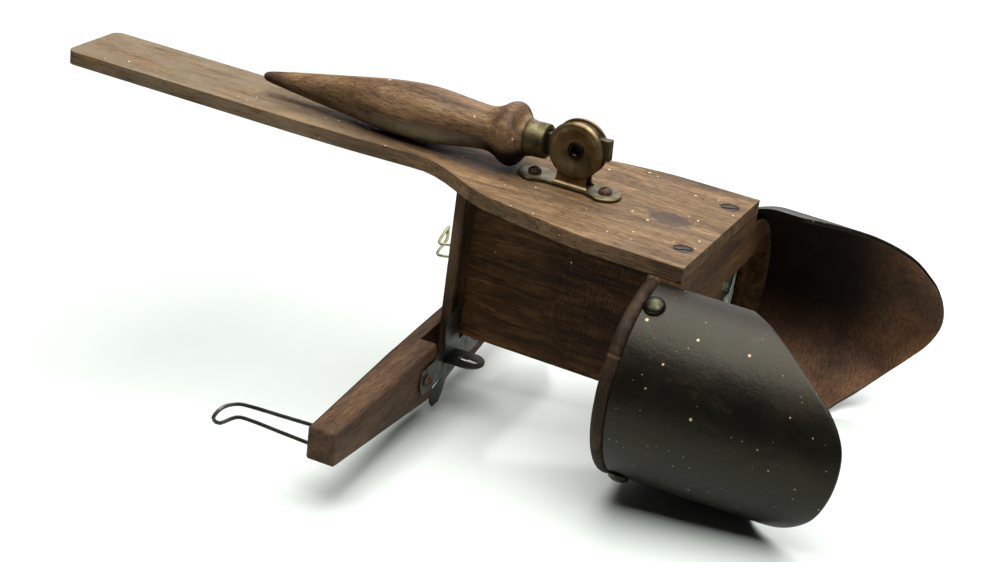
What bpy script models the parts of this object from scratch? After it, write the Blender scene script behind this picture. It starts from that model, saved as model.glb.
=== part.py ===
"""Hand stereoscope of the folding-handle kind, upside down, its cross-bar parked on the septum post.

Frame: metres, +X along the shaft towards the eyes, +Y across it, +Z up out of the shaft's broad face.
The origin lies on that broad face, near the end that carries the lenses.
"""
import math

import bmesh
import bpy
from mathutils import Matrix, Vector

MM = 0.001
GAP = 0.3 * MM                      # left between pieces that touch

# Shaft: a flat board, narrow where the cross-bar rides and wide under the lenses
EYE_END = 25 * MM                   # from the origin to the shaft's lens end
SHAFT_LENGTH = 288 * MM
SHAFT_THICKNESS = 5.8 * MM
SHAFT_NARROW = 34.4 * MM            # width at the far end
SHAFT_WAIST = 29.2 * MM             # width just before it widens
SHAFT_SHOULDER = 67.0 * MM
SHAFT_WIDE = 82.4 * MM
WAIST_BACK = 121 * MM               # these three are measured back from the lens end
SHOULDER_BACK = 77 * MM
WIDE_BACK = 34 * MM
SHAFT_CORNER = 4 * MM

# Lens board: a stadium with a half-round moulding in front and a rabbet for the hood behind it
BOARD_DEPTH = 12.6 * MM
BOARD_RADIUS = 38.4 * MM            # also the hood's outer radius
BOARD_FLAT = 78.0 * MM              # length of the straight run between the round ends
BEAD_RADIUS = 2.7 * MM
BEAD_PROUD = 0.8 * MM
WINDOW_INNER = 12.8 * MM            # from the centre line to a window
WINDOW_RIM = 18.9 * MM              # from the top and bottom of the board to a window
WINDOW_WALL = 1.9 * MM              # wood between a window's corner and the hood
WEB_THICKNESS = 2.2 * MM            # wood left in front of a lens
APERTURE_SIDE = 9.3 * MM            # from a window's side to its aperture
APERTURE_RIM = 5.5 * MM             # and from its top and bottom
LENS_LAP = 3.0 * MM                 # how far a lens reaches past its aperture
LENS_EDGE = 2.0 * MM
LENS_BULGE = 2.8 * MM
RETAINER_THICKNESS = 1.4 * MM
SEAT_CLEARANCE = 0.4 * MM

# Hood: one bent sheet of veneer round the lens board, open towards the shaft
HOOD_THICKNESS = 1.8 * MM
HOOD_START_ANGLE = 5.0              # degrees round the end arc where the sheet begins
# (degrees round the end arc from the shaft side, reach past the shaft's lens end in mm)
TEMPLE_REACH_NEAR = ((5, 28.5), (14.5, 37), (24, 44.2), (35, 52.4), (45, 60.2), (53, 66.2), (61, 70.7),
                     (70, 74), (79, 75.3), (89, 75.3), (100, 74), (113, 71), (124, 66.6), (139, 58.5),
                     (160, 46), (180, 39.5))
TEMPLE_REACH_FAR = ((5, 18), (15, 34), (24, 47), (36, 60.5), (50, 68), (63, 72), (75, 74.3), (86, 74.5),
                    (99, 71.4), (112, 65.3), (127, 57.6), (143, 50.3), (160, 43.5), (180, 39.5))
TEMPLE_TIP = 74.5 * MM              # reach at which the lean below is measured
FOREHEAD_REACH = 35 * MM
TEMPLE_TUCK = 4.5 * MM              # how far the tips of the sides lean inwards
FAR_LIFT = 4.4 * MM                 # the far side's upper edge has sprung away from the board
LIFT_ANGLES = (18.0, 52.0)          # degrees over which that lift fades
# (label, side, degrees round the end arc); where the far side has sprung open its nail is gone
NAILS = (("near_upper", -1, 25.5), ("near_lower", -1, 144.0), ("far_lower", 1, 144.0))
NAIL_HEAD_RADIUS = 4.1 * MM
NAIL_HEAD_HEIGHT = 2.3 * MM
NAIL_SHANK_RADIUS = 0.8 * MM
NAIL_LENGTH = 8.0 * MM

# Septum and the post that ends it
SEPTUM_THICKNESS = 2.6 * MM
SEPTUM_HEIGHT = 69.6 * MM
POST_BACK = 100.6 * MM              # from the lens end back to the post's face
POST_THICKNESS = 4.9 * MM
POST_WIDTH = 21.0 * MM
POST_OVERHANG = 6.7 * MM             # of the post past the septum's lower edge

# Folding hinge
PLATE_BACK = 63.5 * MM              # from the lens end back to the middle of the base plate
PIVOT_FORWARD = 1.4 * MM            # of the pivot past the middle of the plate
PIVOT_HEIGHT = 15.6 * MM
PLATE_LENGTH = 42.6 * MM
PLATE_WIDTH = 15.0 * MM
PLATE_THICKNESS = 1.2 * MM
HINGE_SCREW_SPACING = 29.8 * MM
CHEEK_RADIUS = 11.3 * MM
CHEEK_THICKNESS = 1.3 * MM
CHEEK_FOOT = 14.0 * MM
TANG_THICKNESS = 3.6 * MM
TANG_RADIUS = 10.3 * MM
TANG_HEIGHT = 7.8 * MM              # of its shank in the handle
TANG_REACH = 36.0 * MM
STOP_REACH = 13.3 * MM
STOP_TOP = 6.0 * MM
STOP_BOTTOM = -2.0 * MM
RIVET_RADIUS = 2.3 * MM
RIVET_BORE = 1.7 * MM
RIVET_FLANGE = 3.3 * MM
RIVET_FLANGE_THICKNESS = 0.6 * MM
RUNNING_CLEARANCE = 0.3 * MM

# Handle: (distance from the pivot, radius), both in mm, from the collar to the tip
HANDLE_TILT = 3.36                  # degrees that the folded handle leans down to the shaft
HANDLE_PROFILE = ((20.8, 7.5), (22.4, 8.6), (23.9, 10.8), (25.4, 12.2), (27.2, 12.6), (29.7, 11.9),
                  (32.4, 10.2), (36.0, 8.9), (41.0, 8.8), (51.4, 10.0), (59.4, 10.9), (67.4, 11.2),
                  (77.4, 10.7), (88.4, 9.5), (101.4, 7.6), (118.4, 5.2), (131.4, 3.2), (137.9, 2.0),
                  (139.7, 1.1))
FERRULE_START = 12.4 * MM
FERRULE_WALL = 0.9 * MM
SPIGOT_RADIUS = 5.6 * MM

# Cross-bar, which straddles the shaft in use and here the septum post
BAR_LENGTH = 204 * MM
BAR_END_DEPTH = 11.6 * MM
BAR_MIDDLE_DEPTH = 13.1 * MM
BAR_END_HEIGHT = 13.5 * MM
BAR_MIDDLE_HEIGHT = 24.0 * MM
BAR_MIDDLE_SPAN = 46.0 * MM
BAR_BACK_SPAN = 70.0 * MM
BAR_BEVEL = 0.7 * MM
NOTCH_SIDE_CLEARANCE = 0.25 * MM    # on each side of the shaft
NOTCH_SPRING_ROOM = 2.1 * MM        # left for the spring when the shaft is in the notch
BAR_FORWARD = 1.0 * MM              # of the bar's face past the post's face
SPRING_CLEARANCE = 3.6 * MM         # between the spring and the septum beside it
STOP_CLEARANCE = 0.8 * MM           # between the clip's plate and the septum's lower edge
BAR_YAW = 2.76                      # degrees; it hangs a little askew
BAR_ROLL = 1.2

# Spring clip on the bar
SHEET = 0.7 * MM
CLIP_SIDE = -3.6 * MM               # of the plate's middle from the middle of the notch
CLIP_DROP = 11.8 * MM
EAR_RADIUS = 5.8 * MM
EAR_MARGIN = 6.2 * MM               # from a side of the notch to an ear's screw, clip centred
LEAF_SIDE = -5.3 * MM
LEAF_WIDTH = 13.2 * MM
# (forward of the bar's face, height over its top) in mm, down the leaf spring
LEAF_PATH = ((1.9, 12.2), (0.6, 8.2), (0.0, 4.4), (0.3, 0.0), (0.72, -4.0), (0.72, -17.0), (-0.4, -20.5),
             (-2.6, -25.0), (-3.4, -29.0), (-3.5, -34.3))
TAB_RISE = 1.4 * MM                 # of the slotted tab over the plate's middle
TAB_REACH = 15.5 * MM
TAB_WIDTH = 12.8 * MM
TAB_SLOT_START = 4.2 * MM
TAB_SLOT_LENGTH = 8.6 * MM
TAB_SLOT_WIDTH = 2.8 * MM

# Wire loops that hold the card
WIRE_RADIUS = 0.75 * MM
WIRE_SOCKET = 7.0 * MM
WIRE_INSET = 8.0 * MM                # of the legs from the ends of the bar
WIRE_LEVELS = (-4.2, -12.4)          # height in mm where the two legs leave the bar
# (forward, inward from the legs' roots, height) in mm
WIRE_KNEE = ((-47.0, 7.6, -10.6), (-47.0, 7.6, -16.2))
WIRE_TIP = ((-49.0, -4.0, -7.0), (-50.6, -7.6, -10.2), (-49.4, -4.6, -13.6))

# Screws: (head radius, head height, shank radius, length)
HINGE_SCREW = (2.7 * MM, 1.9 * MM, 1.2 * MM, 5.6 * MM)
CLIP_SCREW = (2.6 * MM, 1.7 * MM, 1.1 * MM, 8.0 * MM)
BOARD_SCREW = (3.4 * MM, 2.6 * MM, 1.4 * MM, 15.0 * MM)
BOARD_SCREW_SPACING = 50.0 * MM
BOARD_SCREW_BACK = 6.6 * MM
SLOT_WIDTH = 0.9 * MM
SLOT_DEPTH = 0.8 * MM

# Places worked out from the sizes above
UNDERSIDE = -SHAFT_THICKNESS
BOARD_TOP = UNDERSIDE - GAP
BOARD_FRONT = EYE_END - BOARD_DEPTH
BOARD_CENTRE = BOARD_TOP - BEAD_PROUD - BOARD_RADIUS
HOOD_FRONT = BOARD_FRONT + 2 * BEAD_RADIUS
RABBET = HOOD_THICKNESS + GAP
WINDOW_HEIGHT = 2 * (BOARD_RADIUS - WINDOW_RIM)
WINDOW_REACH = BOARD_RADIUS - RABBET - WINDOW_WALL
WINDOW_OUTER = BOARD_FLAT / 2 + math.sqrt(WINDOW_REACH ** 2 - (WINDOW_HEIGHT / 2) ** 2)
WINDOW_WIDTH = WINDOW_OUTER - WINDOW_INNER
WINDOW_CENTRE = Vector((0, (WINDOW_INNER + WINDOW_OUTER) / 2, BOARD_CENTRE))
APERTURE_WIDTH = WINDOW_WIDTH - 2 * APERTURE_SIDE
APERTURE_HEIGHT = WINDOW_HEIGHT - 2 * APERTURE_RIM
POST_FACE = EYE_END - POST_BACK
POST_HEIGHT = SEPTUM_HEIGHT + POST_OVERHANG
PLATE_MIDDLE = EYE_END - PLATE_BACK
PIVOT = Vector((PLATE_MIDDLE + PIVOT_FORWARD, 0, PIVOT_HEIGHT))
CHEEK_INNER = TANG_THICKNESS / 2 + RUNNING_CLEARANCE
NOTCH_WIDTH = SHAFT_NARROW + 2 * NOTCH_SIDE_CLEARANCE
NOTCH_DEPTH = SHAFT_THICKNESS + NOTCH_SPRING_ROOM
EAR_SPACING = NOTCH_WIDTH + 2 * EAR_MARGIN
BAR_SIDE = -SEPTUM_THICKNESS / 2 - SPRING_CLEARANCE - LEAF_WIDTH / 2 - LEAF_SIDE
BAR_DROP = GAP + SEPTUM_HEIGHT + STOP_CLEARANCE - (CLIP_DROP - EAR_RADIUS)
BAR_ORIGIN = Vector((POST_FACE + BAR_FORWARD, BAR_SIDE, UNDERSIDE - BAR_DROP))
WIRE_SIDE = BAR_LENGTH / 2 - WIRE_INSET


# --- Meshes -----------------------------------------------------------------------------------

def loft(rings, looped=False):
    """Skins rings of equal length; the ends are capped unless the rings close on themselves."""
    count, size = len(rings), len(rings[0])
    points = [Vector(point) for ring in rings for point in ring]
    faces = []
    for step in range(count if looped else count - 1):
        here, there = step * size, (step + 1) % count * size
        for i in range(size):
            j = (i + 1) % size
            faces.append((here + i, here + j, there + j, there + i))
    if not looped:
        faces.append(tuple(range(size)))
        faces.append(tuple(range((count - 1) * size, count * size)))
    return points, faces


def prism(outline, low, high):
    """Raises a flat outline of (x, y) points from z = low to z = high."""
    return loft([[(x, y, z) for x, y in outline] for z in (low, high)])


def box(low, high):
    """A block between two opposite corners."""
    outline = [(low[0], low[1]), (high[0], low[1]), (high[0], high[1]), (low[0], high[1])]
    return prism(outline, low[2], high[2])


def turned(profile, segments, looped=False):
    """Turns (radius, height) points about Z; radius 0 makes a pole, looped makes a ring."""
    rings = []
    for radius, height in profile:
        size = max(radius, 1e-6)
        angles = [2 * math.pi * k / segments for k in range(segments)]
        rings.append([(size * math.cos(a), size * math.sin(a), height) for a in angles])
    return loft(rings, looped)


def moved(shape, matrix):
    """The same shape, placed by a matrix."""
    points, faces = shape
    return [matrix @ point for point in points], faces


def arc(centre, radius, start, end, steps):
    """Points on a circle, from one angle to another in degrees."""
    angles = [math.radians(start + (end - start) * k / steps) for k in range(steps + 1)]
    return [(centre[0] + radius * math.cos(a), centre[1] + radius * math.sin(a)) for a in angles]


def stadium(length, width, steps):
    """Outline with straight sides and half-round ends, lying along x."""
    reach, radius = (length - width) / 2, width / 2
    return arc((reach, 0), radius, -90, 90, steps) + arc((-reach, 0), radius, 90, 270, steps)


def smooth_path(points, per_span):
    """Catmull-Rom curve through the points, ends included."""
    knots = [Vector(point) for point in points]
    padded = [2 * knots[0] - knots[1]] + knots + [2 * knots[-1] - knots[-2]]
    path = []
    for a, b, c, d in zip(padded, padded[1:], padded[2:], padded[3:]):
        for k in range(per_span):
            t = k / per_span
            path.append(0.5 * (2 * b + (c - a) * t + (2 * a - 5 * b + 4 * c - d) * t ** 2
                               + (3 * b - a - 3 * c + d) * t ** 3))
    return path + [knots[-1]]


def along(direction, origin=(0, 0, 0)):
    """Placement that turns +Z to a direction."""
    return Matrix.Translation(origin) @ Vector(direction).to_track_quat("Z", "Y").to_matrix().to_4x4()


# --- Objects ----------------------------------------------------------------------------------

def clear_scene():
    for old in list(bpy.data.objects):
        bpy.data.objects.remove(old, do_unlink=True)


def finish(name, colour, roughness, metallic=0.0):
    """A Principled material."""
    material = bpy.data.materials.new(name)
    material.use_nodes = True
    shader = material.node_tree.nodes["Principled BSDF"]
    shader.inputs["Base Color"].default_value = (*colour, 1)
    shader.inputs["Roughness"].default_value = roughness
    shader.inputs["Metallic"].default_value = metallic
    return material


def solid(name, shape, material, parent=None):
    """One named object from a shape, merged, facing out and shaded smooth."""
    points, faces = shape
    mesh = bpy.data.meshes.new(name)
    mesh.from_pydata([tuple(point) for point in points], [], faces)
    work = bmesh.new()
    work.from_mesh(mesh)
    bmesh.ops.remove_doubles(work, verts=work.verts, dist=0.02 * MM)
    bmesh.ops.recalc_face_normals(work, faces=work.faces)
    work.to_mesh(mesh)
    work.free()
    mesh.shade_smooth()
    mesh.set_sharp_from_angle(angle=math.radians(35))
    made = bpy.data.objects.new(name, mesh)
    bpy.context.scene.collection.objects.link(made)
    made.parent = parent
    if material is not None:
        mesh.materials.append(material)
    return made


def combine(target, shape, operation, label):
    """Joins a shape to the target or cuts it away; the helper stays hidden."""
    helper = solid(f"{target.name}_{label}", shape, None, target.parent)
    helper.hide_render = True
    helper.display_type = "WIRE"
    modifier = target.modifiers.new(label, "BOOLEAN")
    modifier.operation = operation
    modifier.solver = "EXACT"
    modifier.object = helper


def cut(target, shape, label):
    combine(target, shape, "DIFFERENCE", label)


def add(target, shape, label):
    combine(target, shape, "UNION", label)


def bevel(target, width, segments=1):
    modifier = target.modifiers.new("edges", "BEVEL")
    modifier.width = width
    modifier.segments = segments
    modifier.limit_method = "ANGLE"
    modifier.angle_limit = math.radians(50)


def joint_empty(name, place, turn=(0, 0, 0)):
    """An empty on a joint's axis, for the pieces that move with it."""
    axis = bpy.data.objects.new(name, None)
    axis.location = place
    axis.rotation_euler = turn
    bpy.context.scene.collection.objects.link(axis)
    return axis


# --- Screws and nails -------------------------------------------------------------------------

def dome(radius, height, steps):
    """Profile of a domed head from its crown down to its rim."""
    return [(radius * math.sin(a), height * math.cos(a))
            for a in (math.pi / 2 * k / steps for k in range(steps + 1))]


def round_screw(name, size, seat, direction, material, parent=None, turn=0.0):
    """Round-head slotted screw whose head sits at seat and points along direction."""
    head, height, shank, length = size
    profile = dome(head, height, 4) + [(shank, 0), (shank, -length + 2 * shank), (0, -length)]
    place = along(direction, Vector(seat) + Vector(direction) * GAP) @ Matrix.Rotation(turn, 4, "Z")
    screw = solid(name, moved(turned(profile, 20), place), material, parent)
    slot = box((-head, -SLOT_WIDTH / 2, height - SLOT_DEPTH), (head, SLOT_WIDTH / 2, height + SLOT_DEPTH))
    cut(screw, moved(slot, place), "slot")


def hole(seat, direction, radius, depth, rise=1.0 * MM):
    """Cutter for a straight hole that starts a little outside the surface."""
    return moved(turned(((radius, rise), (radius, -depth)), 16), along(direction, seat))


# --- Shaft ------------------------------------------------------------------------------------

def shaft_half_width(back):
    """Half the board's width at a distance back from the lens end."""
    if back <= WIDE_BACK:
        return SHAFT_WIDE / 2
    if back <= SHOULDER_BACK:
        share = (back - WIDE_BACK) / (SHOULDER_BACK - WIDE_BACK)
        return (SHAFT_WIDE + (SHAFT_SHOULDER - SHAFT_WIDE) * share ** 1.3) / 2
    if back <= WAIST_BACK:
        share = (back - SHOULDER_BACK) / (WAIST_BACK - SHOULDER_BACK)
        ogee = share * share * (3 - 2 * share)
        return (SHAFT_SHOULDER + (SHAFT_WAIST - SHAFT_SHOULDER) * ogee) / 2
    share = min(1, (back - WAIST_BACK) / (WAIST_BACK / 2))
    return (SHAFT_WAIST + (SHAFT_NARROW - SHAFT_WAIST) * share * (2 - share)) / 2


def shaft_shape():
    """Cross-sections from the lens end back to the far end, whose corners are rounded."""
    straight = SHAFT_LENGTH - SHAFT_CORNER
    sections = [(back, shaft_half_width(back)) for back in (straight * k / 48 for k in range(49))]
    for along_corner, inward in arc((0, SHAFT_CORNER), SHAFT_CORNER, -90, 0, 5)[1:]:
        sections.append((straight + along_corner, shaft_half_width(straight) - inward))
    rings = []
    for back, half in sections:
        x = EYE_END - back
        rings.append([(x, -half, UNDERSIDE), (x, half, UNDERSIDE), (x, half, 0), (x, -half, 0)])
    return loft(rings)


def board_screw_places():
    x = EYE_END - BOARD_SCREW_BACK
    return {"near": Vector((x, -BOARD_SCREW_SPACING / 2, 0)), "far": Vector((x, BOARD_SCREW_SPACING / 2, 0))}


def hinge_screw_places():
    half = HINGE_SCREW_SPACING / 2
    return {"back": Vector((PLATE_MIDDLE - half, 0, 0)), "front": Vector((PLATE_MIDDLE + half, 0, 0))}


def countersunk_profile(grow=0.0):
    """Flat head, cone and shank; grow gives the hole that the screw sits in."""
    head, height, shank, length = BOARD_SCREW
    return [(0, grow), (head + grow, grow), (head + grow, -grow), (shank + grow, -height - grow),
            (shank + grow, -length + 2 * shank - grow), (0, -length - grow)]


def build_shaft(wood, steel):
    shaft = solid("shaft", shaft_shape(), wood)
    for side, place in board_screw_places().items():
        cut(shaft, moved(turned(countersunk_profile(GAP), 20), Matrix.Translation(place)), f"seat_{side}")
        sunk = place - Vector((0, 0, GAP))
        screw = solid(f"board_screw_{side}", moved(turned(countersunk_profile(), 20),
                                                   Matrix.Translation(sunk)), steel)
        head = BOARD_SCREW[0]
        slot = box((-head, -SLOT_WIDTH / 2, -SLOT_DEPTH), (head, SLOT_WIDTH / 2, SLOT_DEPTH))
        cut(screw, moved(slot, Matrix.Translation(sunk) @ Matrix.Rotation(0.5, 4, "Z")), "slot")
    for side, place in hinge_screw_places().items():
        cut(shaft, hole(place, (0, 0, 1), HINGE_SCREW[2] + GAP, HINGE_SCREW[3]), f"pilot_{side}")


# --- Lens board -------------------------------------------------------------------------------

def board_ring(x, offset):
    """The board's outline at one depth, its round ends grown or shrunk by an offset."""
    radius, half = BOARD_RADIUS + offset, BOARD_FLAT / 2
    saddle = SHAFT_WIDE / 2
    far = [(half + radius * math.sin(a), BOARD_CENTRE + radius * math.cos(a))
           for a in (math.radians(HOOD_START_ANGLE + (180 - HOOD_START_ANGLE) * k / 18) for k in range(19))]
    far[0] = (max(saddle + GAP, far[0][0]), far[0][1])
    ring = [(-saddle, BOARD_TOP), (saddle, BOARD_TOP)] + far + [(-y, z) for y, z in reversed(far)]
    return [(x, y, z) for y, z in ring]


def board_rings():
    """Half-round moulding in front, then the rabbet back to the eye side."""
    rings = []
    for k in range(7):
        angle = math.pi * k / 6
        x = BOARD_FRONT + BEAD_RADIUS * (1 - math.cos(angle))
        rings.append(board_ring(x, BEAD_PROUD - BEAD_RADIUS + BEAD_RADIUS * math.sin(angle)))
    rings.append(board_ring(HOOD_FRONT + 0.1 * MM, -RABBET))
    rings.append(board_ring(EYE_END, -RABBET))
    return rings


def window_block(side, width, height, front, back):
    """A block centred on a window, between two depths."""
    y, z = side * WINDOW_CENTRE.y, WINDOW_CENTRE.z
    return box((front, y - width / 2, z - height / 2), (back, y + width / 2, z + height / 2))


def lens_shape(side):
    """Flat in front, crowned towards the eye inside a flat rim."""
    width, height = APERTURE_WIDTH + 2 * LENS_LAP, APERTURE_HEIGHT + 2 * LENS_LAP
    front = BOARD_FRONT + WEB_THICKNESS + GAP
    crown = 0.88
    outline = squircle(width, height, 32)
    centre_y, centre_z = side * WINDOW_CENTRE.y, WINDOW_CENTRE.z
    rings = [[(front, centre_y + u, centre_z + v) for u, v in outline]]
    for share in (1.0, crown, 0.75, 0.55, 0.35, 0.15):
        x = front + LENS_EDGE + LENS_BULGE * max(0.0, 1 - (share / crown) ** 2)
        rings.append([(x, centre_y + u * share, centre_z + v * share) for u, v in outline])
    return loft(rings)


def squircle(width, height, count):
    """Rectangle with well-rounded corners."""
    points = []
    for k in range(count):
        angle = 2 * math.pi * (k + 0.5) / count
        c, s = math.cos(angle), math.sin(angle)
        reach = (abs(c) ** 5 + abs(s) ** 5) ** -0.2
        points.append((width / 2 * c * reach, height / 2 * s * reach))
    return points


def retainer_shape(side):
    """Thin frame that keeps a lens in its recess."""
    lens_back = BOARD_FRONT + WEB_THICKNESS + GAP + LENS_EDGE
    front = lens_back + GAP
    outer = (WINDOW_WIDTH - 2 * SEAT_CLEARANCE, WINDOW_HEIGHT - 2 * SEAT_CLEARANCE)
    inner_width, inner_height = APERTURE_WIDTH + LENS_LAP, APERTURE_HEIGHT + LENS_LAP
    y, z = side * WINDOW_CENTRE.y, WINDOW_CENTRE.z
    rings = []
    for width, height, x in ((*outer, front), (*outer, front + RETAINER_THICKNESS),
                             (inner_width, inner_height, front + RETAINER_THICKNESS),
                             (inner_width, inner_height, front)):
        corners = ((-1, -1), (1, -1), (1, 1), (-1, 1))
        rings.append([(x, y + u * width / 2, z + v * height / 2) for u, v in corners])
    return loft(rings, looped=True)


def build_lens_board(wood, glass, frame_wood):
    board = solid("lens_board", loft(board_rings()), wood)
    recess = BOARD_FRONT + WEB_THICKNESS
    for label, side in (("near", -1), ("far", 1)):
        cut(board, window_block(side, WINDOW_WIDTH, WINDOW_HEIGHT, recess, EYE_END + MM), f"recess_{label}")
        cut(board, window_block(side, APERTURE_WIDTH, APERTURE_HEIGHT, BOARD_FRONT - MM, recess + MM),
            f"aperture_{label}")
        solid(f"lens_{label}", lens_shape(side), glass)
        solid(f"lens_retainer_{label}", retainer_shape(side), frame_wood)
    for label, place in board_screw_places().items():
        cut(board, hole(place, (0, 0, 1), BOARD_SCREW[2] + GAP, BOARD_SCREW[3] + GAP + MM), f"pilot_{label}")
    return board


# --- Hood -------------------------------------------------------------------------------------

def temple(side, table):
    """Stations of one side, from its free upper edge down to the bottom of the board."""
    stations = []
    for point in smooth_path([(angle, reach, 0) for angle, reach in table], 2):
        angle = math.radians(point.x)
        out_y, out_z = side * math.sin(angle), math.cos(angle)
        stations.append((side * BOARD_FLAT / 2 + BOARD_RADIUS * out_y, BOARD_CENTRE + BOARD_RADIUS * out_z,
                         out_y, out_z, point.y * MM, lift_at(point.x) if side > 0 else 0.0))
    return stations


def lift_at(degrees):
    """How far the far side stands off the board's curve at an angle round it."""
    start, end = LIFT_ANGLES
    share = min(1.0, max(0.0, (degrees - start) / (end - start)))
    return FAR_LIFT * (1 - share * share * (3 - 2 * share))


def hood_stations():
    """(y, z, outward y, outward z, reach, lift) round the sheet, from one upper edge to the other."""
    near, far = temple(-1, TEMPLE_REACH_NEAR), temple(1, TEMPLE_REACH_FAR)
    forehead = []
    for k in range(1, 8):
        across = k / 4 - 1
        reach = FOREHEAD_REACH + (near[-1][4] - FOREHEAD_REACH) * across ** 2
        forehead.append((across * BOARD_FLAT / 2, BOARD_CENTRE - BOARD_RADIUS, 0, -1, reach, 0.0))
    return near + forehead + far[::-1]


def hood_point(station, share, depth):
    """A point of the sheet: share runs from the moulding to the rim, depth from outside in."""
    y, z, out_y, out_z, reach, lift = station
    front = HOOD_FRONT + GAP
    x = front + (EYE_END + reach - front) * share
    past = max(0.0, x - EYE_END) / TEMPLE_TIP
    lean = TEMPLE_TUCK * past * past * min(1.0, abs(y) / (BOARD_FLAT / 2))
    out = lift * math.sin(min(1.0, (x - front) / (15 * MM)) * math.pi / 2) - depth
    return (x, y - math.copysign(lean, y) + out_y * out, z + out_z * out)


def hood_shape():
    shares = [k / 7 for k in range(8)]
    rings = []
    for station in hood_stations():
        outside = [hood_point(station, share, 0) for share in shares]
        inside = [hood_point(station, share, HOOD_THICKNESS) for share in reversed(shares)]
        rings.append(outside + inside)
    return loft(rings)


def nail_places():
    """(label, seat on the hood, outward direction) for each dome-head nail."""
    x = (HOOD_FRONT + EYE_END) / 2
    for label, side, degrees in NAILS:
        angle = math.radians(degrees)
        out = Vector((0, side * math.sin(angle), math.cos(angle)))
        yield label, Vector((x, side * BOARD_FLAT / 2, BOARD_CENTRE)) + out * BOARD_RADIUS, out


def build_hood(board, veneer, brass):
    hood = solid("hood", hood_shape(), veneer)
    for label, seat, out in nail_places():
        profile = dome(NAIL_HEAD_RADIUS, NAIL_HEAD_HEIGHT, 4)
        profile += [(NAIL_SHANK_RADIUS, 0), (NAIL_SHANK_RADIUS, -NAIL_LENGTH + MM), (0, -NAIL_LENGTH)]
        solid(f"hood_nail_{label}", moved(turned(profile, 20), along(out, seat + out * GAP)), brass)
        bore = hole(seat, out, NAIL_SHANK_RADIUS + GAP, NAIL_LENGTH + MM)
        cut(hood, bore, f"bore_{label}")
        cut(board, bore, f"bore_{label}")


# --- Septum -----------------------------------------------------------------------------------

def build_septum(wood, post_wood):
    top = UNDERSIDE - GAP
    half = SEPTUM_THICKNESS / 2
    solid("septum", box((POST_FACE + GAP, -half, top - SEPTUM_HEIGHT), (BOARD_FRONT - GAP, half, top)), wood)
    post = solid("septum_post", box((POST_FACE - POST_THICKNESS, -POST_WIDTH / 2, top - POST_HEIGHT),
                                    (POST_FACE, POST_WIDTH / 2, top)), post_wood)
    bevel(post, 0.4 * MM)


# --- Folding hinge and handle -----------------------------------------------------------------

def cheek_outline():
    """Round cheek with a straight foot down to the plate, as (x, z)."""
    foot = CHEEK_FOOT / 2
    meet = math.degrees(math.acos(foot / CHEEK_RADIUS))
    low = PLATE_THICKNESS / 2 + GAP - PIVOT_HEIGHT
    return arc((0, 0), CHEEK_RADIUS, -meet, 180 + meet, 28) + [(-foot, low), (foot, low)]


def upright(shape):
    """Turns an outline drawn as (x, y) and raised in z to stand in the XZ plane, raised in Y."""
    points, faces = shape
    return [Vector((p.x, p.z, p.y)) for p in points], faces


def build_bracket(brass, screw_steel):
    plate = prism(stadium(PLATE_LENGTH, PLATE_WIDTH, 10), 0, PLATE_THICKNESS)
    bracket = solid("hinge_bracket", moved(plate, Matrix.Translation((PLATE_MIDDLE, 0, GAP))), brass)
    bevel(bracket, 0.3 * MM)
    for label, side in (("near", -1), ("far", 1)):
        inner, outer = sorted((side * CHEEK_INNER, side * (CHEEK_INNER + CHEEK_THICKNESS)))
        cheek = upright(prism(cheek_outline(), inner, outer))
        add(bracket, moved(cheek, Matrix.Translation(PIVOT)), f"cheek_{label}")
    bore = hole(PIVOT + Vector((0, -CHEEK_RADIUS, 0)), (0, -1, 0), RIVET_RADIUS + RUNNING_CLEARANCE,
                2 * CHEEK_RADIUS)
    cut(bracket, bore, "rivet_bore")
    for label, place in hinge_screw_places().items():
        cut(bracket, hole(place + Vector((0, 0, PLATE_THICKNESS)), (0, 0, 1), HINGE_SCREW[2] + GAP, 3 * MM),
            f"bore_{label}")
        seat = place + Vector((0, 0, PLATE_THICKNESS + GAP))
        round_screw(f"hinge_screw_{label}", HINGE_SCREW, seat, (0, 0, 1), screw_steel, turn=0.9)


def build_rivet(brass):
    """Tubular rivet: a tube with a flange turned over outside each cheek."""
    reach = CHEEK_INNER + CHEEK_THICKNESS + GAP
    lip = reach + RIVET_FLANGE_THICKNESS
    edge = RIVET_FLANGE - 0.3 * MM
    profile = [(RIVET_BORE, -lip), (edge, -lip), (RIVET_FLANGE, -reach), (RIVET_RADIUS, -reach),
               (RIVET_RADIUS, reach), (RIVET_FLANGE, reach), (edge, lip), (RIVET_BORE, lip)]
    solid("hinge_rivet", moved(turned(profile, 24, looped=True), along((0, 1, 0), PIVOT)), brass)


def tang_shape():
    """Disc between the cheeks, shank back into the handle and the stop in front, as (x, z)."""
    half = TANG_HEIGHT / 2
    meet = math.degrees(math.asin(half / TANG_RADIUS))
    stop_top = math.degrees(math.asin(STOP_TOP / TANG_RADIUS))
    stop_bottom = math.degrees(math.asin(STOP_BOTTOM / TANG_RADIUS))
    outline = arc((0, 0), TANG_RADIUS, stop_top, 180 - meet, 14) + [(-TANG_REACH, half), (-TANG_REACH, -half)]
    outline += arc((0, 0), TANG_RADIUS, 180 + meet, 360 + stop_bottom, 14)
    outline += [(STOP_REACH, STOP_BOTTOM), (STOP_REACH, STOP_TOP)]
    return upright(prism(outline, -TANG_THICKNESS / 2, TANG_THICKNESS / 2))


def handle_profile():
    """(radius, distance from the pivot) of the turned wood, spigot included."""
    spigot = FERRULE_START + FERRULE_WALL + GAP
    shoulder = HANDLE_PROFILE[0][0] * MM
    body = smooth_path([(radius * MM, distance * MM, 0) for distance, radius in HANDLE_PROFILE], 2)
    tip = body[-1]
    return ([(0, spigot), (SPIGOT_RADIUS, spigot), (SPIGOT_RADIUS, shoulder)]
            + [(point.x, point.y) for point in body] + [(0, tip.y + 0.3 * MM)])


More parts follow.
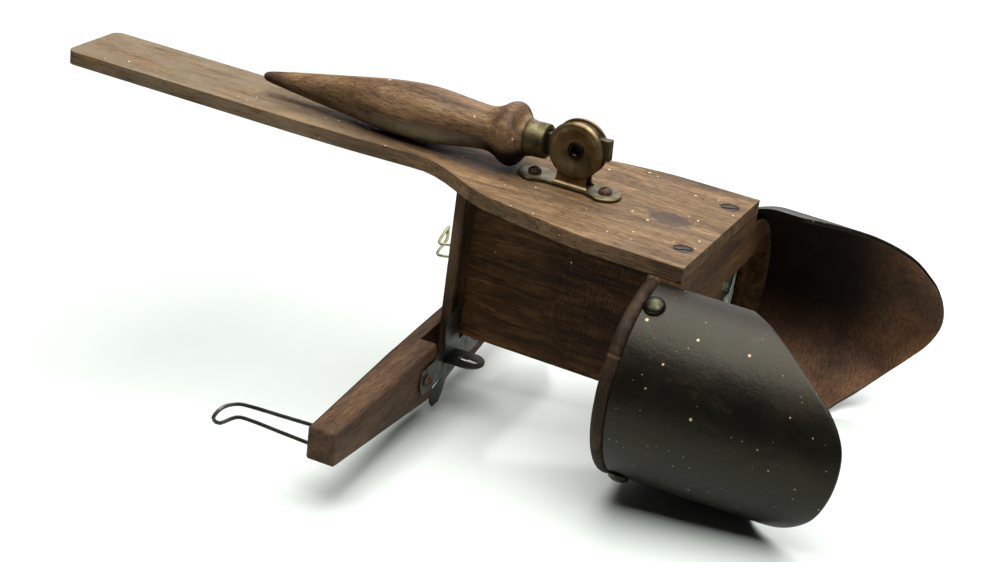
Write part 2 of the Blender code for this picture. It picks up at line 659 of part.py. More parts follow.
def ferrule_profile():
    """Cup over the spigot, widening towards the wood, with a hole for the tang."""
    start, end = FERRULE_START, HANDLE_PROFILE[0][0] * MM - GAP
    inner, wall = SPIGOT_RADIUS + GAP, FERRULE_WALL
    mouth = TANG_HEIGHT / 2 + 1.0 * MM
    return [(mouth, start), (inner, start), (inner + 0.5 * wall, start + 0.5 * wall),
            (inner + wall, end - 2.2 * MM), (inner + 1.5 * wall, end - 1.4 * MM), (inner + 1.5 * wall, end),
            (inner, end), (inner, start + wall), (mouth, start + wall)]


def build_handle(wood, brass):
    axis = joint_empty("handle_axis", PIVOT, (0, -math.radians(HANDLE_TILT), 0))
    backwards = along((-1, 0, 0))
    handle = solid("handle", moved(turned(handle_profile(), 32), backwards), wood, axis)
    slot = SEAT_CLEARANCE
    cut(handle, box((-TANG_REACH - MM, -TANG_THICKNESS / 2 - slot, -TANG_HEIGHT / 2 - slot),
                    (0, TANG_THICKNESS / 2 + slot, TANG_HEIGHT / 2 + slot)), "tang_slot")
    solid("ferrule", moved(turned(ferrule_profile(), 32, looped=True), backwards), brass, axis)
    tang = solid("handle_tang", tang_shape(), brass, axis)
    bore = hole((0, -TANG_RADIUS, 0), (0, -1, 0), RIVET_RADIUS + RUNNING_CLEARANCE, 2 * TANG_RADIUS)
    cut(tang, bore, "rivet_bore")


# --- Cross-bar and what is on it --------------------------------------------------------------

def bar_ring(y, depth, height):
    return [(0, y, 0), (-depth, y, 0), (-depth, y, -height), (0, y, -height)]


def bar_shape():
    """Deepest in the middle, tapering underneath and behind towards both ends."""
    end, middle, back = BAR_LENGTH / 2, BAR_MIDDLE_SPAN / 2, BAR_BACK_SPAN / 2
    rise = (BAR_MIDDLE_HEIGHT - BAR_END_HEIGHT) / (end - middle)
    at_back = BAR_MIDDLE_HEIGHT - rise * (back - middle)
    half = [(end, BAR_END_DEPTH, BAR_END_HEIGHT), (back, BAR_MIDDLE_DEPTH, at_back),
            (middle, BAR_MIDDLE_DEPTH, BAR_MIDDLE_HEIGHT)]
    rings = [bar_ring(-y, depth, height) for y, depth, height in half]
    return loft(rings + [bar_ring(y, depth, height) for y, depth, height in reversed(half)])


def clip_screw_places():
    x = GAP + SHEET
    return {"near": Vector((x, CLIP_SIDE - EAR_SPACING / 2, -CLIP_DROP)),
            "far": Vector((x, CLIP_SIDE + EAR_SPACING / 2, -CLIP_DROP))}


def clip_plate():
    """Stadium plate across the notch, an ear at each end, standing against the bar's face."""
    outline = stadium(EAR_SPACING + 2 * EAR_RADIUS, 2 * EAR_RADIUS, 8)
    points, faces = prism(outline, GAP, GAP + SHEET)
    return [Vector((p.z, CLIP_SIDE + p.x, p.y - CLIP_DROP)) for p in points], faces


def leaf_shape():
    """Strip of sheet along its path, narrowed to a round end at the bottom."""
    path = smooth_path([(x * MM, 0, z * MM) for x, z in LEAF_PATH], 2)
    rings = []
    for k, point in enumerate(path):
        ahead, behind = path[min(k + 1, len(path) - 1)], path[max(k - 1, 0)]
        across = (ahead - behind).cross(Vector((0, 1, 0))).normalized() * (SHEET - 0.06 * MM) / 2
        to_end = (len(path) - 1 - k) / 4
        half = LEAF_WIDTH / 2 * (math.sqrt(1 - (1 - to_end) ** 2) * 0.55 + 0.45 if to_end < 1 else 1)
        near, far = Vector((0, LEAF_SIDE - half, 0)), Vector((0, LEAF_SIDE + half, 0))
        rings.append([point + across + near, point + across + far,
                      point - across + far, point - across + near])
    return loft(rings)


def tab_outline():
    """Tongue with a half-round end, as (x, y) forward of the plate."""
    half, root = TAB_WIDTH / 2, GAP + SHEET / 2
    tip = arc((TAB_REACH - half, LEAF_SIDE), half, -90, 90, 12)
    return [(root, LEAF_SIDE - half)] + tip + [(root, LEAF_SIDE + half)]


def build_clip(bar, steel, screw_steel, axis):
    clip = solid("clip", clip_plate(), steel, axis)
    add(clip, leaf_shape(), "leaf")
    level = TAB_RISE - CLIP_DROP
    add(clip, prism(tab_outline(), level - SHEET / 2, level + SHEET / 2), "tab")
    slot = stadium(TAB_SLOT_LENGTH, TAB_SLOT_WIDTH, 6)
    middle = TAB_SLOT_START + TAB_SLOT_LENGTH / 2
    cut(clip, prism([(x + middle, y + LEAF_SIDE) for x, y in slot], level - MM, level + MM), "tab_slot")
    for label, seat in clip_screw_places().items():
        cut(clip, hole(seat, (1, 0, 0), CLIP_SCREW[2] + GAP, 2 * MM), f"bore_{label}")
        cut(bar, hole(seat, (1, 0, 0), CLIP_SCREW[2] + GAP, CLIP_SCREW[3] + MM), f"pilot_{label}")
        round_screw(f"clip_screw_{label}", CLIP_SCREW, seat, (1, 0, 0), screw_steel, axis, turn=0.4)


def wire_route(side):
    """Hairpin: out of the bar, bent outwards at the knees and round the tip, then back."""
    root_y, (top, bottom) = WIRE_SIDE / MM, WIRE_LEVELS
    upper, lower = [Vector((x, inward, z)) for x, inward, z in WIRE_KNEE]
    back = -BAR_END_DEPTH / MM
    top_root, low_root = Vector((back, 0, top)), Vector((back, 0, bottom))
    points = [top_root + (top_root - upper).normalized() * WIRE_SOCKET / MM, top_root,
              top_root.lerp(upper, 0.5), upper.lerp(top_root, 0.1)]
    points += [Vector((upper.x - 1.6, upper.y - 1.6, upper.z + 0.3))]
    points += [Vector(tip) for tip in WIRE_TIP]
    points += [Vector((lower.x - 1.8, lower.y - 1.6, lower.z + 0.1))]
    points += [lower.lerp(low_root, 0.1), low_root.lerp(lower, 0.5), low_root,
               low_root + (low_root - lower).normalized() * WIRE_SOCKET / MM]
    return [Vector((p.x * MM, side * (root_y - p.y) * MM, p.z * MM)) for p in points]


def tube(path, radius, sides=8):
    """Round tube along a path, its section carried along without twist."""
    rings = []
    across = Vector((0, 0, 1))
    for k, point in enumerate(path):
        ahead, behind = path[min(k + 1, len(path) - 1)], path[max(k - 1, 0)]
        tangent = (ahead - behind).normalized()
        across = (across - tangent * across.dot(tangent)).normalized()
        up = tangent.cross(across)
        rings.append([point + (across * math.cos(a) + up * math.sin(a)) * radius
                      for a in (2 * math.pi * j / sides for j in range(sides))])
    return loft(rings)


def socket_cutter(root, knee):
    """Straight hole in the bar round the buried end of a leg."""
    direction = (knee - root).normalized()
    start = root + direction * 2 * MM
    return hole(start, direction, WIRE_RADIUS + GAP, WIRE_SOCKET + 2 * MM + 2 * GAP)


def build_crossbar(wood, steel, screw_steel):
    turn = (math.radians(BAR_ROLL), 0, math.radians(BAR_YAW))
    axis = joint_empty("crossbar_axis", BAR_ORIGIN, turn)
    bar = solid("crossbar", bar_shape(), wood, axis)
    half = NOTCH_WIDTH / 2
    cut(bar, box((-NOTCH_DEPTH, -half, -BAR_MIDDLE_HEIGHT - MM), (MM, half, MM)), "notch")
    bevel(bar, BAR_BEVEL)
    build_clip(bar, steel, screw_steel, axis)
    for label, side in (("near", -1), ("far", 1)):
        route = wire_route(side)
        solid(f"wire_{label}", tube(smooth_path(route, 3), WIRE_RADIUS), steel, axis)
        cut(bar, socket_cutter(route[1], route[3]), f"socket_{label}_top")
        cut(bar, socket_cutter(route[-2], route[-4]), f"socket_{label}_bottom")


# --- The whole ---------------------------------------------------------------------------------

def main():
    clear_scene()
    shaft_wood = finish("weathered_walnut", (0.20, 0.12, 0.07), 0.6)
    handle_wood = finish("turned_walnut", (0.17, 0.10, 0.055), 0.5)
    septum_wood = finish("curly_veneer", (0.05, 0.028, 0.013), 0.6)
    veneer = finish("blacked_veneer", (0.045, 0.038, 0.032), 0.35)
    brass = finish("aged_brass", (0.25, 0.18, 0.09), 0.45, 0.9)
    steel = finish("dull_steel", (0.14, 0.14, 0.12), 0.45, 0.9)
    rust = finish("rusty_steel", (0.16, 0.08, 0.045), 0.7, 0.5)
    glass = finish("lens_glass", (0.6, 0.65, 0.65), 0.05)
    build_shaft(shaft_wood, rust)
    board = build_lens_board(shaft_wood, glass, septum_wood)
    build_hood(board, veneer, brass)
    build_septum(septum_wood, shaft_wood)
    build_bracket(brass, rust)
    build_rivet(brass)
    build_handle(handle_wood, brass)
    build_crossbar(shaft_wood, steel, rust)


main()
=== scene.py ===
"""Looks for a hand stereoscope that lies upside down on a pale bench.

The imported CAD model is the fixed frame. The shaft, the post and the cross-bar keep their CAD shape with
eased arrises, and the hood, its nails, the turned handle, the ferrule, the hinge and the moulding are
made again as finer surfaces. The rest is the CAD model's own, with a finish.
All lengths are metres in the CAD frame: +X along the shaft to the eyes, +Z out of its broad face.
"""

import logging
import math
from dataclasses import dataclass
from enum import Enum
from typing import Any, Sequence

import bmesh
import bpy
import numpy as np
from mathutils import Matrix, Vector


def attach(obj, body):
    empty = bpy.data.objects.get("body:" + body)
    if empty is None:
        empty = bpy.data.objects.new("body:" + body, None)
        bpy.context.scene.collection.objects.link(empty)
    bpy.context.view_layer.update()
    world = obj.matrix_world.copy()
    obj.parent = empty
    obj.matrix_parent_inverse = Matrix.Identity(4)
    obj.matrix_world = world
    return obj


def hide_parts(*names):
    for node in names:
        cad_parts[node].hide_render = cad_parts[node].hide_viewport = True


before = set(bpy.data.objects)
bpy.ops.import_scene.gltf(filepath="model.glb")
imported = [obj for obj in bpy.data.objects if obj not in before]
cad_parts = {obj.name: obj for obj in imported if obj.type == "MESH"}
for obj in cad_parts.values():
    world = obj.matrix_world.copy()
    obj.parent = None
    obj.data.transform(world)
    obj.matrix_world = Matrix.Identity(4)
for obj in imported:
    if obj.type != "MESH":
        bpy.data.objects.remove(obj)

LOG = logging.getLogger("stereoscope")
MM = 0.001
SEEN_WHITE = 1.05                   # radiance of the surroundings to the eye, just past white

# Sizes of the CAD model that several pieces share
BOARD_CENTRE_Z = -45.3 * MM
BOARD_HALF_FLAT = 39.0 * MM
HINGE_PIVOT = (-37.1 * MM, 0.0, 15.6 * MM)


class Body(Enum):
    """The CAD bodies that pieces ride on."""

    VIEWER = "viewer"
    HANDLE = "handle"
    BAR = "crossbar"


class Grain(Enum):
    """The axis that a wood's fibres run along."""

    X = 0
    Y = 1
    Z = 2


# --- Colours and shader nodes ------------------------------------------------------------------

def colour(code: str) -> tuple[float, float, float, float]:
    """Turns an sRGB hex colour to linear RGBA.

    Args:
        code: six hex digits after a hash.

    Returns:
        Linear red, green, blue and an alpha of 1.
    """
    parts = [int(code[i:i + 2], 16) / 255 for i in (1, 3, 5)]
    linear = [c / 12.92 if c <= 0.04045 else ((c + 0.055) / 1.055) ** 2.4 for c in parts]
    return (linear[0], linear[1], linear[2], 1.0)


def feed(material: bpy.types.ID, node: bpy.types.Node, inputs: dict[Any, Any]) -> None:
    """Sets a node's inputs: a plain value is stored, and an output socket is linked."""
    for key, value in inputs.items():
        socket = node.inputs[key]
        if isinstance(value, bpy.types.NodeSocket):
            material.node_tree.links.new(value, socket)
        else:
            socket.default_value = value


def add_node(material: bpy.types.ID, kind: str, inputs: dict[Any, Any] | None = None,
             stops: Sequence[tuple[float, tuple[float, float, float, float]]] = (),
             **settings: Any) -> bpy.types.Node:
    """Adds one shader node with its settings and links.

    Args:
        material: the material or world that gets the node.
        kind: the node's Blender type.
        inputs: socket name or number to a value, or to an output socket that feeds it.
        stops: (position, colour) pairs, for a colour ramp.
        settings: properties set on the node itself.

    Returns:
        The new node.
    """
    made = material.node_tree.nodes.new(kind)
    for key, value in settings.items():
        setattr(made, key, value)
    feed(material, made, inputs or {})
    if stops:
        ramp = made.color_ramp.elements
        while len(ramp) < len(stops):
            ramp.new(0.5)
        for element, (place, shade) in zip(ramp, stops):
            element.position = place
            element.color = shade
    return made


def new_material(name: str) -> tuple[bpy.types.Material, bpy.types.Node]:
    """Makes a material and returns it with its Principled shader."""
    material = bpy.data.materials.new(name)
    material.use_nodes = True
    return material, material.node_tree.nodes["Principled BSDF"]


def sized(material: bpy.types.ID, sizes_mm: Sequence[float]) -> bpy.types.NodeSocket:
    """The piece's own space, in which one unit is a number of millimetres along each axis."""
    start = add_node(material, "ShaderNodeTexCoord").outputs["Object"]
    mapping = add_node(material, "ShaderNodeMapping",
                       {"Vector": start, "Scale": [1000 / size for size in sizes_mm]})
    return mapping.outputs["Vector"]


def clouds(material: bpy.types.ID, sizes_mm: Sequence[float], detail: float = 3.0, rough: float = 0.5,
           warp: float = 0.0) -> bpy.types.NodeSocket:
    """Fractal clouds over the piece.

    Args:
        material: the material that gets the nodes.
        sizes_mm: size of a cloud along x, y and z.
        detail: how many finer layers it has.
        rough: how strong each finer layer is.
        warp: how far the clouds are bent out of shape.

    Returns:
        A value that stays mostly between 0.3 and 0.7.
    """
    made = add_node(material, "ShaderNodeTexNoise",
                    {"Vector": sized(material, sizes_mm), "Scale": 1.0, "Detail": detail,
                     "Roughness": rough, "Distortion": warp})
    return made.outputs["Fac"]


def patches(material: bpy.types.ID, sizes_mm: Sequence[float], low: float, high: float, top: float = 1.0,
            detail: float = 3.0, rough: float = 0.5, warp: float = 0.0) -> bpy.types.NodeSocket:
    """Soft-edged patches: clouds that count as 0 below low and as top above high."""
    value = clouds(material, sizes_mm, detail, rough, warp)
    made = add_node(material, "ShaderNodeMapRange",
                    {"Value": value, "From Min": low, "From Max": high, "To Max": top},
                    interpolation_type="SMOOTHSTEP")
    return made.outputs["Result"]


def fade(material: bpy.types.ID, axis: str, start: float, end: float,
         top: float = 1.0) -> bpy.types.NodeSocket:
    """Share that goes smoothly from 0 at start to top at end, two places in metres on an axis."""
    place = add_node(material, "ShaderNodeTexCoord").outputs["Object"]
    along = add_node(material, "ShaderNodeSeparateXYZ", {"Vector": place}).outputs[axis]
    made = add_node(material, "ShaderNodeMapRange",
                    {"Value": along, "From Min": start, "From Max": end, "To Max": top},
                    interpolation_type="SMOOTHSTEP")
    return made.outputs["Result"]


def paint(material: bpy.types.ID, face: Any, *coats: tuple[Any, Any]) -> bpy.types.NodeSocket:
    """Lays coats over a face in order; each is a share from 0 to 1 and a colour."""
    for share, over in coats:
        made = add_node(material, "ShaderNodeMix", {0: share, 6: face, 7: over}, data_type="RGBA")
        face = made.outputs[2]
    return face


def streaked(material: bpy.types.ID, face: bpy.types.NodeSocket, value: bpy.types.NodeSocket,
             stops: Sequence[tuple[float, tuple[float, float, float, float]]]) -> bpy.types.NodeSocket:
    """Darkens and lightens a face by factors that a ramp gives for a value."""
    shade = add_node(material, "ShaderNodeValToRGB", {"Fac": value}, stops)
    made = add_node(material, "ShaderNodeMix", {0: 1.0, 6: face, 7: shade.outputs["Color"]},
                    data_type="RGBA", blend_type="MULTIPLY")
    return made.outputs[2]


def flecks(material: bpy.types.ID, cell_mm: float, radius_mm: float, share: float) -> bpy.types.NodeSocket:
    """Scattered round spots: near a cell's seed, and only in a share of the cells.

    Args:
        material: the material that gets the nodes.
        cell_mm: spacing of the seeds.
        radius_mm: radius of the largest spots.
        share: part of the cells that have a spot.

    Returns:
        1 in a spot and 0 outside.
    """
    seeds = add_node(material, "ShaderNodeTexVoronoi",
                     {"Vector": sized(material, [cell_mm] * 3), "Scale": 1.0})
    radius = radius_mm / cell_mm
    parts = add_node(material, "ShaderNodeSeparateColor", {"Color": seeds.outputs["Color"]})
    grow = add_node(material, "ShaderNodeMapRange",
                    {"Value": parts.outputs[1], "To Min": 2.6, "To Max": 1.0})
    far = add_node(material, "ShaderNodeMath", {0: seeds.outputs["Distance"], 1: grow.outputs[0]},
                   operation="MULTIPLY")
    near = add_node(material, "ShaderNodeMapRange",
                    {"Value": far.outputs[0], "From Min": radius, "From Max": radius * 0.6},
                    interpolation_type="SMOOTHSTEP")
    chosen = add_node(material, "ShaderNodeMath", {0: parts.outputs[0], 1: 1 - share},
                      operation="GREATER_THAN")
    both = add_node(material, "ShaderNodeMath", {0: near.outputs["Result"], 1: chosen.outputs[0]},
                    operation="MULTIPLY")
    return both.outputs[0]


# --- Finishes ----------------------------------------------------------------------------------

@dataclass(frozen=True)
class Wood:
    """Oiled walnut, sawn and planed, its finish long worn off.

    Walnut gives brown bands a few millimetres wide with darker open pores that run along the fibres.
    Handling leaves grey dirt in patches and small pale splashes of old paint.
    """

    name: str
    pale: str
    middle: str
    dark: str
    grain: Grain
    dirt: str = "#4d463c"
    dirt_share: float = 0.35
    band_mm: float = 5.0
    pore_mm: float = 0.5
    pore_share: float = 0.65
    splash_share: float = 0.3
    roughness: float = 0.66
    shine: float = 0.18
    ripple: float = 0.0
    stains: tuple[tuple[float, float, float, float, float], ...] = ()

    def stretched(self, across_mm: float, along_mm: float) -> list[float]:
        """Sizes along x, y and z with the long one on the grain."""
        sizes = [across_mm] * 3
        sizes[self.grain.value] = along_mm
        return sizes

    def material(self) -> bpy.types.Material:
        """Builds the wood: bands, fibres, pores and dirt, then wear, stains and splashes."""
        made, shader = new_material(self.name)
        bands = clouds(made, self.stretched(self.band_mm, self.band_mm * 9), 5, 0.6, 0.8)
        tone = add_node(made, "ShaderNodeValToRGB", {"Fac": bands},
                        [(0.30, colour(self.dark)), (0.50, colour(self.middle)), (0.68, colour(self.pale))])
        # Fibres are about a tenth of a millimetre wide and are drawn coarser so that they show.
        fibre = clouds(made, self.stretched(self.pore_mm, self.pore_mm * 16), 3, 0.6)
        face = streaked(made, tone.outputs["Color"], fibre,
                        [(0.32, (0.52, 0.50, 0.48, 1)), (0.52, (1, 1, 1, 1)), (0.70, (1.34, 1.30, 1.24, 1))])
        pores = patches(made, self.stretched(self.pore_mm * 0.8, self.pore_mm * 9), 0.57, 0.66,
                        self.pore_share, 2)
        dirt = patches(made, self.stretched(16, 34), 0.50, 0.72, self.dirt_share, 4, 0.6, 0.8)
        face = paint(made, face, (pores, colour("#1a1009")), (dirt, colour(self.dirt)))
        height = add_node(made, "ShaderNodeMath", {0: fibre, 1: pores}, operation="SUBTRACT").outputs[0]
        if self.ripple:
            face, height = self.rippled(made, face, height)
        face = self.worn(made, face)
        for place in self.stains:
            face = paint(made, face, (self.stain(made, *place), colour("#3a3029")))
        if self.splash_share:
            face = paint(made, face, (flecks(made, 4.6, 0.75, self.splash_share), colour("#cdbb97")))
        relief = add_node(made, "ShaderNodeBump", {"Height": height, "Strength": 0.8, "Distance": 0.25 * MM})
        feed(made, shader, {"Base Color": face, "Roughness": self.roughness,
                            "Specular IOR Level": self.shine, "Normal": relief.outputs["Normal"]})
        return made

    def worn(self, made: bpy.types.Material, face: bpy.types.NodeSocket) -> bpy.types.NodeSocket:
        """Wear of a special kind; plain boards have none."""
        return face

    def stain(self, made: bpy.types.Material, x: float, y: float, long: float, wide: float,
              share: float) -> bpy.types.NodeSocket:
        """A ragged oval stain in the broad face, its edge broken up by clouds.

        Args:
            made: the material that gets the nodes.
            x: its middle along the shaft, in millimetres.
            y: its middle across the shaft, in millimetres.
            long: half its length in millimetres.
            wide: half its width in millimetres.
            share: how strongly it covers the wood.

        Returns:
            The share of stain over the surface.
        """
        place = add_node(made, "ShaderNodeTexCoord").outputs["Object"]
        oval = add_node(made, "ShaderNodeMapping",
                        {"Vector": place, "Location": (-x / long, -y / wide, 0),
                         "Scale": (1000 / long, 1000 / wide, 40)})
        far = add_node(made, "ShaderNodeVectorMath", {0: oval.outputs["Vector"]}, operation="LENGTH")
        ragged = clouds(made, [3.2, 2.2, 3.0], 4, 0.65)
        edge = add_node(made, "ShaderNodeMath", {0: ragged, 1: 1.5, 2: far.outputs["Value"]},
                        operation="MULTIPLY_ADD")
        cover = add_node(made, "ShaderNodeMapRange",
                         {"Value": edge.outputs[0], "From Min": 1.75, "From Max": 1.35, "To Max": share},
                         interpolation_type="SMOOTHSTEP")
        return cover.outputs["Result"]

    def rippled(self, made: bpy.types.Material, face: bpy.types.NodeSocket,
                height: bpy.types.NodeSocket) -> tuple[bpy.types.NodeSocket, bpy.types.NodeSocket]:
        """Adds curly figure: short wavy lines that stand across the grain, about 1.3 mm apart."""
        waves = add_node(made, "ShaderNodeTexWave",
                         {"Vector": sized(made, [3.6, 3.6, 14.0]), "Scale": 1.0, "Distortion": 11.0,
                          "Detail": 3.0, "Detail Scale": 1.6, "Detail Roughness": 0.6},
                         wave_type="BANDS", bands_direction="X").outputs["Fac"]
        cloud = patches(made, [38, 38, 30], 0.25, 0.55, self.ripple, 2)
        patch = add_node(made, "ShaderNodeMath", {0: cloud, 1: fade(made, "X", -0.062, -0.030)},
                         operation="MULTIPLY").outputs[0]
        dark = paint(made, colour("#120a04"), (waves, colour("#ffffff")))
        curl = add_node(made, "ShaderNodeMix", {0: 1.0, 6: face, 7: dark}, data_type="RGBA",
                        blend_type="MULTIPLY")
        amount = add_node(made, "ShaderNodeMath", {0: waves, 1: patch}, operation="MULTIPLY")
        total = add_node(made, "ShaderNodeMath", {0: height, 1: amount.outputs[0]}, operation="ADD")
        return paint(made, face, (patch, curl.outputs[2])), total.outputs[0]


@dataclass(frozen=True)
class GreyedSheenWood(Wood):
    """Walnut of the shaft, with a painted sheen: grey is laid over its far end."""

    def worn(self, made: bpy.types.Material, face: bpy.types.NodeSocket) -> bpy.types.NodeSocket:
        """Greys the wood towards the far end, unevenly, as a painted sheen."""
        cloud = patches(made, [30, 9, 9], 0.25, 0.65, 1.0, 4, 0.6)
        share = add_node(made, "ShaderNodeMath", {0: cloud, 1: fade(made, "X", -0.07, -0.20, 0.75)},
                         operation="MULTIPLY")
        # painted sheen: grey laid over the far end of the shaft
        return paint(made, face, (share.outputs[0], colour("#736855")))


@dataclass(frozen=True)
class WornAndShadedHandleWood(Wood):
    """Walnut of the handle: painted shading under it as a pale grey-green wash, painted shade in near black
    below the collar, and a blackened tip.
    """

    def worn(self, made: bpy.types.Material, face: bpy.types.NodeSocket) -> bpy.types.NodeSocket:
        """Lays painted shading under the grip as a pale grey-green wash, painted shade in near black on the
        collar's lower half, and dark grease on the tip.

        Height is measured from the handle's axis, which falls 58.7 mm in a metre towards the tip.
        """
        place = add_node(made, "ShaderNodeTexCoord").outputs["Object"]
        parts = add_node(made, "ShaderNodeSeparateXYZ", {"Vector": place})
        cloud = patches(made, [9, 9, 9], 0.2, 0.6, 1.0, 3, 0.6)
        level = add_node(made, "ShaderNodeMath", {0: parts.outputs["X"], 1: -0.0587, 2: parts.outputs["Z"]},
                         operation="MULTIPLY_ADD")
        below = add_node(made, "ShaderNodeMapRange",
                         {"Value": level.outputs[0], "From Min": 0.0175, "From Max": 0.0115, "To Max": 0.75},
                         interpolation_type="SMOOTHSTEP")
        # painted shading: a pale grey-green wash in clouds below the grip's axis
        dust_and_shade = add_node(made, "ShaderNodeMath", {0: cloud, 1: below.outputs["Result"]}, operation="MULTIPLY")
        # painted shade: the collar's lower half is darkened to near black
        collar_shade = add_node(made, "ShaderNodeMath",
                          {0: fade(made, "X", -0.079, -0.070), 1: fade(made, "Z", 0.0135, 0.0085)},
                          operation="MULTIPLY")
        return paint(made, face, (dust_and_shade.outputs[0], colour("#8a8268")),
                     (fade(made, "X", -0.158, -0.174, 0.7), colour("#1d1711")),
                     (collar_shade.outputs[0], colour("#080402")))


@dataclass(frozen=True)
class BlackedVeneer:
    """Thin veneer stained black, varnished and rubbed.

    The varnish gives a soft sheen that is duller where hands held it; brown wood grins through the
    stain in clouds, and pale paint has spattered it.
    """

    name: str = "stained_veneer"
    black: str = "#040301"
    brown: str = "#1b1208"
    bloom: str = "#0a0905"

    def material(self) -> bpy.types.Material:
        """Builds the stained outside of the hood."""
        made, shader = new_material(self.name)
        cloud = clouds(made, [22, 22, 16], 5, 0.62, 0.5)
        base = add_node(made, "ShaderNodeValToRGB", {"Fac": cloud},
                        [(0.34, colour(self.black)), (0.55, colour(self.bloom)), (0.72, colour(self.brown))])
        fine = clouds(made, [1.1, 1.1, 1.1], 3, 0.6)
        specks = add_node(made, "ShaderNodeMapRange",
                          {"Value": fine, "From Min": 0.35, "From Max": 0.75, "To Max": 0.35},
                          interpolation_type="SMOOTHSTEP")
        smudge = patches(made, [17, 17, 12], 0.56, 0.70, 0.6, 4, 0.65)
        face = paint(made, base.outputs["Color"], (specks.outputs["Result"], colour("#0c0b09")),
                     (smudge, colour("#2a2013")), (flecks(made, 7.5, 0.95, 0.7), colour("#b7a27b")),
                     (flecks(made, 3.4, 0.5, 0.9), colour("#8d7c5d")),
                     # painted reflection of the pale bench: the hood is greyed and lightened towards its
                     # lower edge
                     (fade(made, "Z", -0.058, -0.084, 0.7), colour("#1e1e15")))
        rough = add_node(made, "ShaderNodeMapRange", {"Value": cloud, "To Min": 0.32, "To Max": 0.50})
        uneven = add_node(made, "ShaderNodeMath", {0: cloud, 1: 5.0, 2: fine}, operation="MULTIPLY_ADD")
        relief = add_node(made, "ShaderNodeBump",
                          {"Height": uneven.outputs[0], "Strength": 0.6, "Distance": 0.12 * MM})
        feed(made, shader, {"Base Color": face, "Roughness": rough.outputs["Result"],
                            "Specular IOR Level": 0.29, "Specular Tint": colour("#f1ead2"),
                            "Normal": relief.outputs["Normal"]})
        return made


@dataclass(frozen=True)
class BareVeneer:
    """The unvarnished inside of the same veneer.

    Its fibres run round the hood and are broken into short lighter and darker strokes.
    """

    name: str = "bare_veneer"
    red: str = "#6e4d31"
    dark: str = "#472f1c"

    def material(self) -> bpy.types.Material:
        """Builds the brown inside of the hood."""
        made, shader = new_material(self.name)
        ground = paint(made, colour(self.dark),
                       (patches(made, [26, 26, 26], 0.35, 0.65, 1.0, 4, 0.6), colour(self.red)))
        # Strokes are a few tenths of a millimetre wide and are drawn at 0.6 mm so that they show.
        strokes = clouds(made, [0.6, 2.0, 2.0], 3, 0.65)
        face = streaked(made, ground, strokes,
                        [(0.34, (0.50, 0.48, 0.46, 1)), (0.52, (1, 1, 1, 1)), (0.70, (1.5, 1.42, 1.3, 1))])
        face = paint(made, face, (flecks(made, 9.0, 0.5, 0.12), colour("#a58c66")),
                     # painted shade: the upper corner by the lens board is darkened to near black
                     (self.painted_corner_shade(made), colour("#060301")))
        relief = add_node(made, "ShaderNodeBump",
                          {"Height": strokes, "Strength": 0.8, "Distance": 0.15 * MM})
        feed(made, shader, {"Base Color": face, "Roughness": 0.6, "Specular IOR Level": 0.2,
                            "Normal": relief.outputs["Normal"]})
        return made

    def painted_corner_shade(self, made: bpy.types.Material) -> bpy.types.NodeSocket:
        """Share of painted shade, near black, in the upper corner by the lens board."""
        both = add_node(made, "ShaderNodeMath",
                        {0: fade(made, "X", 0.100, 0.058, 0.96), 1: fade(made, "Z", -0.082, -0.042)},
                        operation="MULTIPLY")
        return both.outputs[0]


@dataclass(frozen=True)
class Metal:
    """A dull old metal with a patina that keeps its rubbed places brighter."""

    name: str
    rubbed: str
    aged: str
    deep: str
    patch_mm: float = 5.0
    roughness: tuple[float, float] = (0.34, 0.6)
    metallic: float = 1.0
    pits_mm: float = 0.6

    def material(self) -> bpy.types.Material:
        """Builds the metal: patina clouds over a rubbed ground, with fine pits."""
        made, shader = new_material(self.name)
        patina = clouds(made, [self.patch_mm] * 3, 5, 0.6, 0.4)
        face = add_node(made, "ShaderNodeValToRGB", {"Fac": patina},
                        [(0.33, colour(self.deep)), (0.50, colour(self.aged)), (0.70, colour(self.rubbed))])
        low, high = self.roughness
        rough = add_node(made, "ShaderNodeMapRange", {"Value": patina, "To Min": high, "To Max": low})
        pits = clouds(made, [self.pits_mm] * 3, 3, 0.6)
        relief = add_node(made, "ShaderNodeBump", {"Height": pits, "Strength": 0.35, "Distance": 0.04 * MM})
        feed(made, shader, {"Base Color": face.outputs["Color"], "Roughness": rough.outputs["Result"],
                            "Metallic": self.metallic, "Normal": relief.outputs["Normal"]})
        return made


@dataclass(frozen=True)
class Glue:
    """Hide glue, brushed on hot: dark amber, with chalky crumbs where it has dried out."""

    name: str = "hide_glue"

    def material(self) -> bpy.types.Material:
        """Builds the glue: amber with pale crumbs."""
        made, shader = new_material(self.name)
        grain = clouds(made, [1.2, 1.2, 2.0], 4, 0.6)
        crumbs = add_node(made, "ShaderNodeMapRange", {"Value": grain, "From Min": 0.58, "From Max": 0.66},
                          interpolation_type="SMOOTHSTEP")
        face = paint(made, colour("#170e07"), (crumbs.outputs["Result"], colour("#a59c88")))
        relief = add_node(made, "ShaderNodeBump", {"Height": grain, "Strength": 0.7, "Distance": 0.2 * MM})
        feed(made, shader, {"Base Color": face, "Roughness": 0.5, "Normal": relief.outputs["Normal"]})
        return made


@dataclass(frozen=True)
class LensGlass:
    """Crown glass, ground and polished: clear, with a hard gloss."""

    name: str = "crown_glass"

    def material(self) -> bpy.types.Material:
        """Builds the glass with a trace of dust in its roughness."""
        made, shader = new_material(self.name)
        dust_and_shade = patches(made, [6, 6, 6], 0.4, 0.8, 0.05, 3, 0.6)
        feed(made, shader, {"Base Color": colour("#6e746a"), "Roughness": dust_and_shade, "Transmission Weight": 1.0,
                            "Specular IOR Level": 0.3, "IOR": 1.52})
        return made


